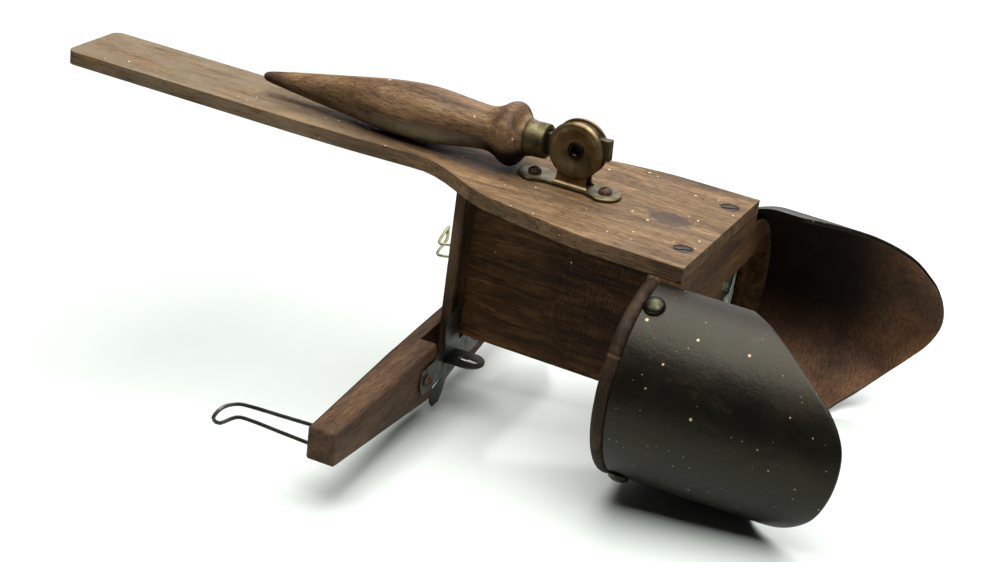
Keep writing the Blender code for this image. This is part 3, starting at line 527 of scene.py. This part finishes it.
@dataclass(frozen=True)
class Bench:
    """White acrylic sheet under the object, which fades to plain white away from it."""

    name: str = "bench_white"
    lit_radius: float = 0.20
    white_radius: float = 0.42

    def material(self) -> bpy.types.Material:
        """Builds the floor: lit and slightly glossy near the object, white further out."""
        made, shader = new_material(self.name)
        feed(made, shader, {"Base Color": colour("#cdd3cd"), "Roughness": 0.16, "Specular IOR Level": 0.4})
        space = add_node(made, "ShaderNodeTexCoord").outputs["Object"]
        far = add_node(made, "ShaderNodeVectorMath", {0: space}, operation="LENGTH")
        share = add_node(made, "ShaderNodeMapRange",
                         {"Value": far.outputs["Value"], "From Min": self.lit_radius,
                          "From Max": self.white_radius}, interpolation_type="SMOOTHSTEP")
        # Only the eye sees the white; as a light the far floor is dark, which keeps the sides deep.
        seen = add_node(made, "ShaderNodeLightPath").outputs["Is Camera Ray"]
        strength = add_node(made, "ShaderNodeMath", {0: seen, 1: SEEN_WHITE}, operation="MULTIPLY")
        glow = add_node(made, "ShaderNodeEmission", {"Color": (1, 1, 1, 1), "Strength": strength.outputs[0]})
        mix = add_node(made, "ShaderNodeMixShader",
                       {0: share.outputs["Result"], 1: shader.outputs[0], 2: glow.outputs[0]})
        feed(made, made.node_tree.nodes["Material Output"], {"Surface": mix.outputs[0]})
        return made


# --- Surfaces ----------------------------------------------------------------------------------

def spline(knots: np.ndarray, per_span: int) -> np.ndarray:
    """Catmull-Rom curve: each span is a cubic whose end slopes are half the step between neighbours.

    Args:
        knots: points as rows.
        per_span: samples in each span.

    Returns:
        The curve's points as rows, both ends included.
    """
    padded = np.vstack((2 * knots[:1] - knots[1:2], knots, 2 * knots[-1:] - knots[-2:-1]))
    t = np.linspace(0, len(knots) - 1, (len(knots) - 1) * per_span + 1)
    i = np.minimum(t.astype(int), len(knots) - 2)
    s = (t - i)[:, None]
    a, b, c, d = padded[i], padded[i + 1], padded[i + 2], padded[i + 3]
    return 0.5 * (2 * b + (c - a) * s + (2 * a - 5 * b + 4 * c - d) * s ** 2
                  + (3 * b - a - 3 * c + d) * s ** 3)


def surface(name: str, grid: np.ndarray, body: Body, material: bpy.types.Material,
            closed_columns: bool = False, crease: float = 40.0) -> bpy.types.Object:
    """One smooth piece from a grid of points whose rows are closed loops; open ends get a cap.

    Args:
        name: the piece's name.
        grid: points as an array of rows, columns and x y z.
        body: the CAD body that it rides on.
        material: its finish.
        closed_columns: whether the last row joins the first.
        crease: the angle in degrees above which an edge stays sharp.

    Returns:
        The piece, at the origin.
    """
    rows, columns = grid.shape[:2]
    index = np.arange(rows * columns).reshape(rows, columns)
    wide = np.hstack((index, index[:, :1]))
    tall = np.vstack((wide, wide[:1])) if closed_columns else wide
    quads = np.stack((tall[:-1, :-1], tall[:-1, 1:], tall[1:, 1:], tall[1:, :-1]), axis=-1).reshape(-1, 4)
    faces = quads.tolist()
    if not closed_columns:
        faces += [index[0, ::-1].tolist(), index[-1].tolist()]
    mesh = bpy.data.meshes.new(name)
    mesh.from_pydata(grid.reshape(-1, 3).tolist(), [], faces)
    return seat(name, mesh, body, material, crease)


def seat(name: str, mesh: bpy.types.Mesh, body: Body, material: bpy.types.Material,
         crease: float = 40.0) -> bpy.types.Object:
    """Merges a mesh's seams, turns its faces outwards, shades it and puts it on its body."""
    work = bmesh.new()
    work.from_mesh(mesh)
    bmesh.ops.remove_doubles(work, verts=work.verts, dist=2e-6)
    bmesh.ops.recalc_face_normals(work, faces=work.faces)
    work.to_mesh(mesh)
    work.free()
    mesh.shade_smooth()
    mesh.set_sharp_from_angle(angle=math.radians(crease))
    mesh.materials.append(material)
    made = bpy.data.objects.new(name, mesh)
    bpy.context.scene.collection.objects.link(made)
    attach(made, body.value)
    LOG.info("%s: %d faces on %s", name, len(mesh.polygons), body.value)
    return made


def turned(profile: np.ndarray, origin: Vector, axis: Vector, segments: int = 72) -> np.ndarray:
    """Surface of revolution: (radius, distance) pairs carried round an axis.

    Args:
        profile: rows of radius and distance along the axis.
        origin: a point on the axis.
        axis: its direction.
        segments: steps round it.

    Returns:
        A grid with a row for each profile point.
    """
    turn = np.array(axis.to_track_quat("Z", "Y").to_matrix())
    angle = np.linspace(0, 2 * math.pi, segments, endpoint=False)
    radius, height = np.maximum(profile[:, :1], 1e-7), profile[:, 1:2]
    local = np.stack((radius * np.cos(angle), radius * np.sin(angle), height + 0 * angle), axis=-1)
    return local @ turn.T + np.array(origin)


def eased_copy(node: str, name: str, body: Body, material: bpy.types.Material, width: float,
               segments: int = 2) -> bpy.types.Object:
    """A copy of a CAD node with its doubles merged and its arrises rounded, which replaces the node.

    Args:
        node: the CAD node.
        name: the new piece's name.
        body: the CAD body that it rides on.
        material: its finish.
        width: how far the rounding reaches from an arris.
        segments: steps round it.

    Returns:
        The new piece.
    """
    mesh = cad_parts[node].data.copy()
    mesh.name = name
    mesh.materials.clear()
    work = bmesh.new()
    work.from_mesh(mesh)
    bmesh.ops.remove_doubles(work, verts=work.verts, dist=1e-5)
    bmesh.ops.dissolve_limit(work, angle_limit=math.radians(1.0), verts=work.verts, edges=work.edges)
    work.to_mesh(mesh)
    work.free()
    piece = seat(name, mesh, body, material)
    modifier = piece.modifiers.new("eased", "BEVEL")
    modifier.width = width
    modifier.segments = segments
    modifier.limit_method = "ANGLE"
    modifier.angle_limit = math.radians(40)
    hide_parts(node)
    return piece


def dress(material: bpy.types.Material, *nodes: str) -> None:
    """Gives CAD nodes a material."""
    for node in nodes:
        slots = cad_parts[node].data.materials
        slots.clear()
        slots.append(material)
        LOG.info("%s: dressed in %s", node, material.name)


# --- Finishes of this object -------------------------------------------------------------------

class Finishes:
    """Every material, made once."""

    def __init__(self) -> None:
        """Builds the woods, the veneer's two faces, the metals and the glass."""
        self.shaft = GreyedSheenWood("shaft_walnut", "#83694a", "#675036", "#433323", Grain.X, band_mm=7.0,
                                  splash_share=0.55, stains=(
                                      (4.5, -2.2, 11.0, 7.0, 0.85), (-78.0, 2.0, 34.0, 15.0, 0.6),
                                      (18.4, 25.0, 5.5, 4.5, 0.7), (18.4, -25.0, 5.5, 4.5, 0.7))).material()
        self.bar = Wood("bar_walnut", "#5c432a", "#4a3421", "#302114", Grain.Y, dirt_share=0.2,
                        splash_share=0.05).material()
        self.post = Wood("post_walnut", "#6a5038", "#533d28", "#342518", Grain.Z,
                         splash_share=0.0).material()
        self.board = Wood("board_walnut", "#6b4f2e", "#543b22", "#332313", Grain.Y, dirt_share=0.25,
                          splash_share=0.0).material()
        self.moulding = Wood("moulding_walnut", "#3f2e19", "#26190b", "#120b05", Grain.Z, band_mm=7.0,
                             dirt_share=0.45, splash_share=0.05).material()
        self.septum = Wood("rippled_walnut", "#765230", "#583b1e", "#301d0c", Grain.X, dirt="#2a2015",
                           splash_share=0.05, ripple=0.6).material()
        self.handle = WornAndShadedHandleWood("handle_walnut", "#826748", "#664d33", "#3f2d1d", Grain.X, dirt="#55524a",
                           dirt_share=0.4, splash_share=0.2, roughness=0.52,
                                   pore_share=0.5).material()
        self.hood_outside = BlackedVeneer().material()
        self.hood_inside = BareVeneer().material()
        self.glue = Glue().material()
        self.brass = Metal("browned_brass", "#8d7b57", "#715e40", "#55442a", patch_mm=9.0,
                           roughness=(0.36, 0.5), metallic=0.85).material()
        self.dull_brass = Metal("dull_brass", "#746c50", "#575039", "#3a3526",
                                roughness=(0.42, 0.66)).material()
        self.nail = Metal("nail_brass", "#4c493a", "#363428", "#201f17", patch_mm=3.0,
                          roughness=(0.3, 0.5)).material()
        self.steel = Metal("blued_steel", "#5a594c", "#3f3f35", "#25251f", roughness=(0.36, 0.6)).material()
        self.wire = Metal("wire_steel", "#5d5c50", "#42413a", "#2a2924", patch_mm=9.0).material()
        # painted backlight: the far wire gets a pale copy of the wire steel, lit as it shows against the
        # light
        self.painted_backlit_wire = Metal("painted_backlit_wire", "#bdb692", "#9b9675", "#6f6b52", patch_mm=9.0).material()
        self.rust = Metal("rusted_iron", "#63422b", "#4a321f", "#2c1e13", patch_mm=2.2,
                          roughness=(0.6, 0.85), metallic=0.25, pits_mm=0.4).material()
        # A darker copy of the rusted iron for the screws sunk in the shaft: rust, with painted shade of
        # their countersinks.
        self.sunk_screw = Metal("rusted_iron_and_recess_shade", "#3d2f23", "#2c2119", "#1a130d", patch_mm=2.0,
                                roughness=(0.6, 0.85), metallic=0.2, pits_mm=0.4).material()
        self.glass = LensGlass().material()


# --- The object --------------------------------------------------------------------------------

@dataclass
class WoodenFrame:
    """Shaft, lens board, septum, post and the screws that hold them."""

    arris: float = 0.8 * MM
    glue_x: float = -75.45 * MM
    glue_half_depth: float = 0.6 * MM
    glue_half_width: float = 1.15 * MM
    glue_ends: tuple[float, float] = (-6.6 * MM, -75.0 * MM)

    def build(self, finishes: Finishes) -> None:
        """Eases the arrises of the boards and dresses the rest."""
        eased_copy("shaft", "shaft_board", Body.VIEWER, finishes.shaft, self.arris)
        eased_copy("septum_post", "septum_end_post", Body.VIEWER, finishes.post, self.arris / 2)
        dress(finishes.septum, "septum", "lens_retainer_near", "lens_retainer_far")
        dress(finishes.board, "lens_board")
        dress(finishes.glass, "lens_near", "lens_far")
        self.glue_line(finishes)
        # the sunk screws: rust, darkened with painted shade of their countersinks
        dress(finishes.sunk_screw, "board_screw_near", "board_screw_far")
        dress(finishes.rust, "hinge_screw_back", "hinge_screw_front")

    def glue_line(self, finishes: Finishes) -> None:
        """Bead of hide glue down the joint of septum and post: an oval section carried along the height."""
        around = np.linspace(0, 2 * math.pi, 16, endpoint=False)
        z = np.linspace(*self.glue_ends, 120)
        swell = 1 + 0.25 * np.sin(z * 900) * np.sin(z * 2300 + 1)
        x = self.glue_x + self.glue_half_depth * np.cos(around)[None, :] + 0 * z[:, None]
        y = self.glue_half_width * np.sin(around)[None, :] * swell[:, None]
        grid = np.stack((x, y, z[:, None] + 0 * x), axis=-1)
        surface("septum_glue_line", grid, Body.VIEWER, finishes.glue)


@dataclass
class Moulding:
    """Half-round bead bent round the front of the lens board, worn and split in two places."""

    x: float = 15.1 * MM
    centre_z: float = BOARD_CENTRE_Z
    half_flat: float = BOARD_HALF_FLAT
    bend_radius: float = 36.5 * MM
    radius: float = 2.78 * MM
    start_angle: float = 5.5
    split_angles: tuple[float, float] = (59.0, 127.0)

    def build(self, finishes: Finishes) -> None:
        """Carries a circle along two round ends and the straight between them."""
        degrees = np.linspace(self.start_angle, 180, 330)
        angle = np.radians(degrees)
        far_y = self.half_flat + self.bend_radius * np.sin(angle)
        far_z = self.centre_z + self.bend_radius * np.cos(angle)
        straight = np.linspace(self.half_flat, -self.half_flat, 80)[1:-1]
        y = np.concatenate((far_y, straight, -far_y[::-1]))
        z = np.concatenate((far_z, np.full(len(straight), far_z[-1]), far_z[::-1]))
        split = sum(np.exp(-((degrees - place) / 0.6) ** 2) for place in self.split_angles)
        thin = np.concatenate((0 * split, 0 * straight, split[::-1]))
        path = np.stack((np.full_like(y, self.x), y, z), axis=-1)
        along = np.gradient(path, axis=0)
        along /= np.linalg.norm(along, axis=1, keepdims=True)
        side = np.cross(along, (1.0, 0.0, 0.0))
        around = np.linspace(0, 2 * math.pi, 24, endpoint=False)
        length = np.arange(len(y))[:, None]
        worn = 1 - 0.030 * np.abs(np.sin(length * 0.021 + 0.8) * np.sin(length * 0.067 + around * 2))
        size = self.radius * worn * (1 - 0.42 * thin[:, None])
        grid = (path[:, None, :] + size[..., None] * (np.cos(around)[None, :, None] * np.array((1.0, 0, 0))
                                                      + np.sin(around)[None, :, None] * side[:, None, :]))
        surface("board_moulding", grid, Body.VIEWER, finishes.moulding)


@dataclass
class Hood:
    """One bent sheet of veneer, open towards the shaft, its far upper edge sprung outwards."""

    front: float = 18.1 * MM
    eye_end: float = 25.0 * MM
    radius: float = 38.4 * MM
    half_flat: float = BOARD_HALF_FLAT
    centre_z: float = BOARD_CENTRE_Z
    thickness: float = 1.8 * MM
    rim: float = 0.55 * MM
    tip: float = 74.5 * MM
    tuck: float = 4.5 * MM
    lift: float = 4.4 * MM
    lift_angles: tuple[float, float] = (18.0, 52.0)
    forehead: float = 35.0 * MM
    near: tuple[tuple[float, float], ...] = (
        (5, 28.5), (14.5, 37), (24, 44.2), (35, 52.4), (45, 60.2), (53, 66.2), (61, 70.7), (70, 74),
        (79, 75.3), (89, 75.3), (100, 74), (113, 71), (124, 66.6), (139, 58.5), (160, 46), (180, 39.5))
    far: tuple[tuple[float, float], ...] = (
        (5, 18), (15, 34), (24, 47), (36, 60.5), (50, 68), (63, 72), (75, 74.3), (86, 74.5),
        (99, 71.4), (112, 65.3), (127, 57.6), (143, 50.3), (160, 43.5), (180, 39.5))

    def side(self, sign: int, table: tuple[tuple[float, float], ...]) -> np.ndarray:
        """Stations down one side: y, z, outward y, outward z, reach and lift as columns."""
        curve = spline(np.array(table, float), 6)
        angle = np.radians(curve[:, 0])
        out_y, out_z = sign * np.sin(angle), np.cos(angle)
        start, end = self.lift_angles
        share = np.clip((curve[:, 0] - start) / (end - start), 0, 1)
        lift = self.lift * (1 - share * share * (3 - 2 * share)) * (sign > 0)
        return np.stack((sign * self.half_flat + self.radius * out_y, self.centre_z + self.radius * out_z,
                         out_y, out_z, curve[:, 1] * MM, lift), axis=-1)

    def stations(self) -> np.ndarray:
        """Stations from the near upper edge, under the forehead, to the far upper edge."""
        near, far = self.side(-1, self.near), self.side(1, self.far)
        across = np.linspace(-1, 1, 34)[1:-1]
        reach = self.forehead + (near[-1, 4] - self.forehead) * across ** 2
        blank = np.zeros_like(across)
        middle = np.stack((across * self.half_flat, blank + self.centre_z - self.radius, blank, blank - 1,
                           reach, blank), axis=-1)
        return np.vstack((near, middle, far[::-1]))

    def grid(self) -> tuple[np.ndarray, int]:
        """Carries the sheet's section round the stations.

        The section runs out along the outside, round the rim and back along the inside. A point's
        distance out is the side's lift less its depth in the sheet, and the tips lean inwards with
        the square of their reach.

        Returns:
            The grid and the number of columns that belong to the outside.
        """
        y, z, out_y, out_z, reach, lift = [column[:, None] for column in self.stations().T]
        run = np.linspace(0, 1, 44)
        turn = np.linspace(0, math.pi, 9)[1:-1]
        half = self.thickness / 2
        length = self.eye_end + reach - self.front
        outside = self.front + (length - self.rim) * run
        bend = self.front + length - self.rim + self.rim * np.sin(turn)
        x = np.hstack((outside, bend, outside[:, ::-1]))
        depth = np.concatenate((0 * run, half - half * np.cos(turn), 0 * run + self.thickness))
        past = np.maximum(0, x - self.eye_end) / self.tip
        lean = self.tuck * past ** 2 * np.minimum(1, np.abs(y) / self.half_flat)
        out = lift * np.sin(np.minimum(1, (x - self.front) / (15 * MM)) * math.pi / 2) - depth
        return np.stack((x, y - np.sign(y) * lean + out_y * out, z + out_z * out), axis=-1), len(run)

    def build(self, finishes: Finishes) -> None:
        """Makes the sheet and gives its inside the bare finish."""
        grid, outside = self.grid()
        columns = grid.shape[1]
        piece = surface("hood_sheet", grid, Body.VIEWER, finishes.hood_outside)
        piece.data.materials.append(finishes.hood_inside)
        number = (grid.shape[0] - 1) * columns
        slots = np.zeros(len(piece.data.polygons), np.int32)
        column = np.arange(number) % columns
        slots[:number] = (column >= outside + 5) & (column < columns - 1)
        piece.data.polygons.foreach_set("material_index", slots)
        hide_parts("hood")


@dataclass
class Nails:
    """Dome-head nails that hold the hood to the lens board."""

    places: tuple[tuple[str, int, float], ...] = (
        ("near_upper", -1, 25.5), ("near_lower", -1, 144.0), ("far_lower", 1, 144.0))
    x: float = 21.4 * MM
    seat_radius: float = 38.7 * MM
    half_flat: float = BOARD_HALF_FLAT
    centre_z: float = BOARD_CENTRE_Z
    head_radius: float = 4.1 * MM
    head_height: float = 2.3 * MM
    shank_radius: float = 0.8 * MM
    shank_length: float = 8.0 * MM

    def build(self, finishes: Finishes) -> None:
        """Turns each nail: a dome with a rounded rim on a pointed shank."""
        sweep = np.linspace(math.pi / 2, 0.12, 14)
        dome = np.stack((self.head_radius * np.cos(sweep), self.head_height * np.sin(sweep)), axis=-1)
        shank = np.array(((self.head_radius * 0.96, 0.0), (self.shank_radius, 0.0),
                          (self.shank_radius, 1 * MM - self.shank_length), (0.0, -self.shank_length)))
        for label, side, degrees in self.places:
            out = Vector((0, side * math.sin(math.radians(degrees)), math.cos(math.radians(degrees))))
            seat_point = Vector((self.x, side * self.half_flat, self.centre_z)) + out * self.seat_radius
            nail = surface(f"dome_nail_{label}", turned(np.vstack((dome, shank)), seat_point, out, 48),
                           Body.VIEWER, finishes.nail, crease=50)
            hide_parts(f"hood_nail_{label}")


@dataclass
class Hinge:
    """Brass bracket with two dished cheeks, its base plate with round screw lobes, and a tubular rivet."""

    pivot: tuple[float, float, float] = HINGE_PIVOT
    plate_middle: float = -38.5 * MM
    plate_length: float = 42.6 * MM
    lobe: float = 7.5 * MM
    waist: float = 4.9 * MM
    sheet: float = 1.2 * MM
    lift: float = 0.3 * MM
    cheek_inner: float = 2.1 * MM
    cheek_radius: float = 11.3 * MM
    neck: float = 5.9 * MM
    foot: float = 7.3 * MM

    def plate(self, finishes: Finishes) -> None:
        """Base plate: two round lobes joined by a waist, with a rounded upper edge."""
        reach = self.plate_length / 2
        turn = np.linspace(0, 2 * math.pi, 160, endpoint=False)
        x = reach * np.cos(turn)
        lobe_x = np.abs(x) - (reach - self.lobe)
        round_end = np.sqrt(np.maximum(0, self.lobe ** 2 - np.maximum(lobe_x, 0) ** 2))
        neck = self.waist + (self.lobe - self.waist) * np.clip(1 + lobe_x / (6.5 * MM), 0, 1) ** 1.5
        y = np.sign(np.sin(turn)) * np.minimum(neck, round_end)
        outline = np.stack((x, y), axis=-1)
        low, high = self.lift, self.lift + self.sheet
        levels = ((0.985, low), (1.0, low + 0.2 * MM), (1.0, high - 0.45 * MM), (0.985, high - 0.15 * MM),
                  (0.96, high), (0.5, high))
        grid = np.stack([np.column_stack((self.plate_middle + outline[:, 0] * share, outline[:, 1] * share,
                                          np.full(len(turn), level))) for share, level in levels])
        surface("hinge_plate", grid, Body.VIEWER, finishes.dull_brass)

    def cheeks(self, finishes: Finishes) -> None:
        """Two cheeks: a rolled rim, a swelling ring and a sunk middle round the rivet."""
        edge = self.cheek_radius
        outer = np.array(((2.0, 0.05), (3.3, 0.05), (4.2, 0.18), (5.4, 0.60), (6.8, 1.25), (8.1, 1.80),
                          (9.2, 2.10), (9.9, 2.08), (10.5, 1.85), (11.0, 1.35), (11.3, 0.7))) * MM
        outer[:, 0] *= edge / (11.3 * MM)
        face = spline(outer, 5)
        inner = np.array(((edge - 0.2 * MM, 0.0), (2.0 * MM, 0.0)))
        profile = np.vstack((face, inner))
        for label, side in (("near", -1), ("far", 1)):
            start = Vector(self.pivot) + Vector((0, side * self.cheek_inner, 0))
            surface(f"hinge_cheek_{label}", turned(profile, start, Vector((0, side, 0))), Body.VIEWER,
                    finishes.brass, closed_columns=True, crease=60)

    def feet(self, finishes: Finishes) -> None:
        """Strip under each cheek: it comes down from the disc, widens and bends out to the plate."""
        top = self.pivot[2] - self.cheek_radius * 0.55
        low = self.lift + self.sheet
        for label, side in (("near", -1), ("far", 1)):
            mid_y = self.cheek_inner + 0.5 * MM
            path = spline(np.array(((mid_y, top), (mid_y, top - 2.0 * MM), (mid_y, low + 2.2 * MM),
                                    (mid_y + 0.15 * MM, low + 1.0 * MM), (mid_y + 0.5 * MM, low + 0.35 * MM),
                                    (mid_y + 1.1 * MM, low - 0.2 * MM))), 6)
            along = np.gradient(path, axis=0)
            along /= np.linalg.norm(along, axis=1, keepdims=True)
            off = np.stack((-along[:, 1], along[:, 0]), axis=-1) * 0.5 * MM
            half = self.neck + (self.foot - self.neck) * np.linspace(0, 1, len(path)) ** 2
            rows = []
            for offset, share in ((off, -1), (off, 1), (-off, 1), (-off, -1)):
                rows.append(np.stack((self.pivot[0] + share * half, side * (path + offset)[:, 0],
                                      (path + offset)[:, 1]), axis=-1))
            surface(f"hinge_foot_{label}", np.stack(rows, axis=1), Body.VIEWER, finishes.brass)

    def rivet(self, finishes: Finishes) -> None:
        """Semi-tubular rivet: a cup at each end with its lip rolled over, and a solid middle."""
        reach = self.cheek_inner + 0.30 * MM
        lip = np.array(((1.72, -0.9), (1.78, 0.0), (2.1, 0.38), (2.6, 0.46), (3.1, 0.28), (3.3, -0.1))) * MM
        end = spline(lip, 4) + np.array((0, reach))
        half = np.vstack((np.array(((0.0, reach - 1.9 * MM), (1.6 * MM, reach - 1.9 * MM))), end,
                          np.array(((2.2 * MM, reach - 0.3 * MM),))))
        profile = np.vstack((half, (half * np.array((1, -1)))[::-1]))
        surface("hinge_tube_rivet", turned(profile, Vector(self.pivot), Vector((0, 1, 0)), 48), Body.VIEWER,
                finishes.nail)

    def build(self, finishes: Finishes) -> None:
        """Makes the bracket and rivet in place of the CAD ones."""
        self.plate(finishes)
        self.cheeks(finishes)
        self.feet(finishes)
        self.rivet(finishes)
        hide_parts("hinge_bracket")
        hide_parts("hinge_rivet")


@dataclass
class Handle:
    """Turned handle with a beaded collar, its ferrule and the tang with its stop."""

    pivot: tuple[float, float, float] = HINGE_PIVOT
    tilt: float = 3.36
    profile: tuple[tuple[float, float], ...] = (
        (20.8, 7.5), (22.4, 8.6), (23.9, 10.8), (25.4, 12.2), (27.2, 12.6), (29.7, 11.9),
        (32.4, 10.2), (36.0, 8.9), (41.0, 8.8), (51.4, 10.0), (59.4, 10.9), (67.4, 11.2),
        (77.4, 10.7), (88.4, 9.5), (101.4, 7.6), (118.4, 5.2), (131.4, 3.2), (137.9, 2.0), (139.7, 1.1))

    def axis(self) -> Vector:
        """Direction from the pivot to the tip when folded."""
        lean = math.radians(self.tilt)
        return Vector((-math.cos(lean), 0, -math.sin(lean)))

    def build(self, finishes: Finishes) -> None:
        """Turns the wood and the ferrule, and dresses the tang."""
        knots = np.array([(radius, distance) for distance, radius in self.profile]) * MM
        body = spline(knots, 10)
        ends = (np.array(((1e-7, 20.9 * MM),)), np.array(((0.6 * MM, 139.95 * MM), (1e-7, 140.0 * MM))))
        grid = turned(np.vstack((ends[0], body, ends[1])), Vector(self.pivot), self.axis(), 96)
        wood = surface("turned_handle", grid, Body.HANDLE, finishes.handle, crease=70)
        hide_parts("handle")
        cup = np.array(((4.9, 12.4), (6.3, 12.4), (6.75, 12.75), (6.85, 13.6), (6.85, 15.5), (6.9, 18.6),
                        (7.15, 19.2), (7.25, 20.4), (7.0, 20.75), (5.0, 20.75))) * MM
        ferrule = surface("brass_ferrule", turned(cup, Vector(self.pivot), self.axis(), 64), Body.HANDLE,
                          finishes.dull_brass, closed_columns=True, crease=50)
        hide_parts("ferrule")
        dress(finishes.dull_brass, "handle_tang")


@dataclass
class CrossBar:
    """Cross-bar with its spring clip and the two wire card loops."""

    arris: float = 0.45 * MM

    def build(self, finishes: Finishes) -> None:
        """Eases the bar and dresses the clip, its screws and the wires."""
        eased_copy("crossbar", "card_bar", Body.BAR, finishes.bar, self.arris)
        dress(finishes.steel, "clip")
        dress(finishes.wire, "wire_near")
        # painted backlight: the far wire is dressed in the pale copy of the wire steel
        dress(finishes.painted_backlit_wire, "wire_far")
        dress(finishes.rust, "clip_screw_near", "clip_screw_far")


# --- Camera, floor and light --------------------------------------------------------------------

@dataclass
class Studio:
    """Camera, pale bench and soft light."""

    eye: tuple[float, float, float] = (0.203772, -0.624526, 0.267407)
    right: tuple[float, float, float] = (0.88810202, 0.44166023, 0.1273226)
    down: tuple[float, float, float] = (0.29247197, -0.32929405, -0.89778927)
    forward: tuple[float, float, float] = (-0.35459124, 0.83456676, -0.42161995)
    lens: float = 67.925

    def camera(self) -> None:
        """Sets the camera at its viewing angle."""
        data = bpy.data.cameras.new("view_camera")
        data.lens = self.lens
        data.sensor_width = 36.0
        data.clip_start = 0.01
        data.clip_end = 50.0
        camera = bpy.data.objects.new("view_camera", data)
        bpy.context.scene.collection.objects.link(camera)
        axes = Matrix((self.right, [-c for c in self.down], [-c for c in self.forward])).transposed()
        camera.matrix_world = Matrix.Translation(self.eye) @ axes.to_4x4()
        bpy.context.scene.camera = camera

    def floor_plane(self) -> tuple[Vector, Vector]:
        """Plane that the clip's tip and the hood's rim both touch, level across.

        The slope is stepped until the lowest points of the two nodes lie on one line.

        Returns:
            A point of the plane and its upward normal.
        """
        sets = []
        for node in ("clip", "hood"):
            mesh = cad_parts[node].data
            points = np.empty(len(mesh.vertices) * 3)
            mesh.vertices.foreach_get("co", points)
            sets.append(points.reshape(-1, 3))
        slope = 0.15
        for _ in range(20):
            tips = [points[np.argmin(points[:, 2] - slope * points[:, 0])] for points in sets]
            slope = (tips[1][2] - tips[0][2]) / (tips[1][0] - tips[0][0])
        return Vector(tips[0]), Vector((-slope, 0, 1)).normalized()

    def floor(self) -> Vector:
        """Lays the bench and returns its normal."""
        point, normal = self.floor_plane()
        centre = Vector((-0.02, 0.0, 0.0))
        centre.z = point.z - (normal.x * (centre.x - point.x) + normal.y * (centre.y - point.y)) / normal.z
        mesh = bpy.data.meshes.new("bench")
        half = 4.0
        mesh.from_pydata([(-half, -half, 0), (half, -half, 0), (half, half, 0), (-half, half, 0)], [],
                         [(0, 1, 2, 3)])
        mesh.materials.append(Bench().material())
        bench = bpy.data.objects.new("bench", mesh)
        bpy.context.scene.collection.objects.link(bench)
        turn = normal.to_track_quat("Z", "Y").to_matrix().to_4x4()
        bench.matrix_world = Matrix.Translation(centre - normal * 0.0004) @ turn
        return normal

    def lamp(self, name: str, place: tuple[float, float, float], target: tuple[float, float, float],
             size: float, power: float) -> None:
        """Adds one square white soft box that looks at a target."""
        data = bpy.data.lights.new(name, "AREA")
        data.shape = "SQUARE"
        data.size = size
        data.energy = power
        lamp = bpy.data.objects.new(name, data)
        bpy.context.scene.collection.objects.link(lamp)
        lamp.location = place
        lamp.rotation_euler = (Vector(place) - Vector(target)).to_track_quat("Z", "Y").to_euler()

    def world(self) -> None:
        """White surroundings for the eye, much dimmer as a light on the object."""
        world = bpy.data.worlds.new("studio")
        world.use_nodes = True
        bpy.context.scene.world = world
        tree = world.node_tree
        tree.nodes.clear()
        seen = add_node(world, "ShaderNodeBackground", {"Color": (1, 1, 1, 1), "Strength": SEEN_WHITE})
        lit = add_node(world, "ShaderNodeBackground", {"Color": colour("#f4f7ff"), "Strength": 0.025})
        path = add_node(world, "ShaderNodeLightPath")
        mix = add_node(world, "ShaderNodeMixShader",
                       {0: path.outputs["Is Camera Ray"], 1: lit.outputs[0], 2: seen.outputs[0]})
        add_node(world, "ShaderNodeOutputWorld", {"Surface": mix.outputs[0]})

    def build(self) -> None:
        """Sets up the whole studio."""
        scene = bpy.context.scene
        scene.view_settings.view_transform = "Standard"
        scene.view_settings.look = "None"
        self.camera()
        self.floor()
        self.world()
        self.lamp("overhead_box", (0.0, -0.05, 1.2), (0, 0, 0), 1.5, 52.0)
        self.lamp("back_box", (-0.3, 1.3, 0.6), (0, 0, -0.05), 1.0, 9.0)


def main() -> None:
    """Builds the studio and every sub-assembly in order."""
    logging.basicConfig(level=logging.INFO, format="%(name)s: %(message)s")
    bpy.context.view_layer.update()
    Studio().build()
    finishes = Finishes()
    for part in (WoodenFrame(), Moulding(), Hood(), Nails(), Hinge(), Handle(), CrossBar()):
        LOG.info("building %s", type(part).__name__)
        part.build(finishes)


if __name__ == "__main__":
    main()
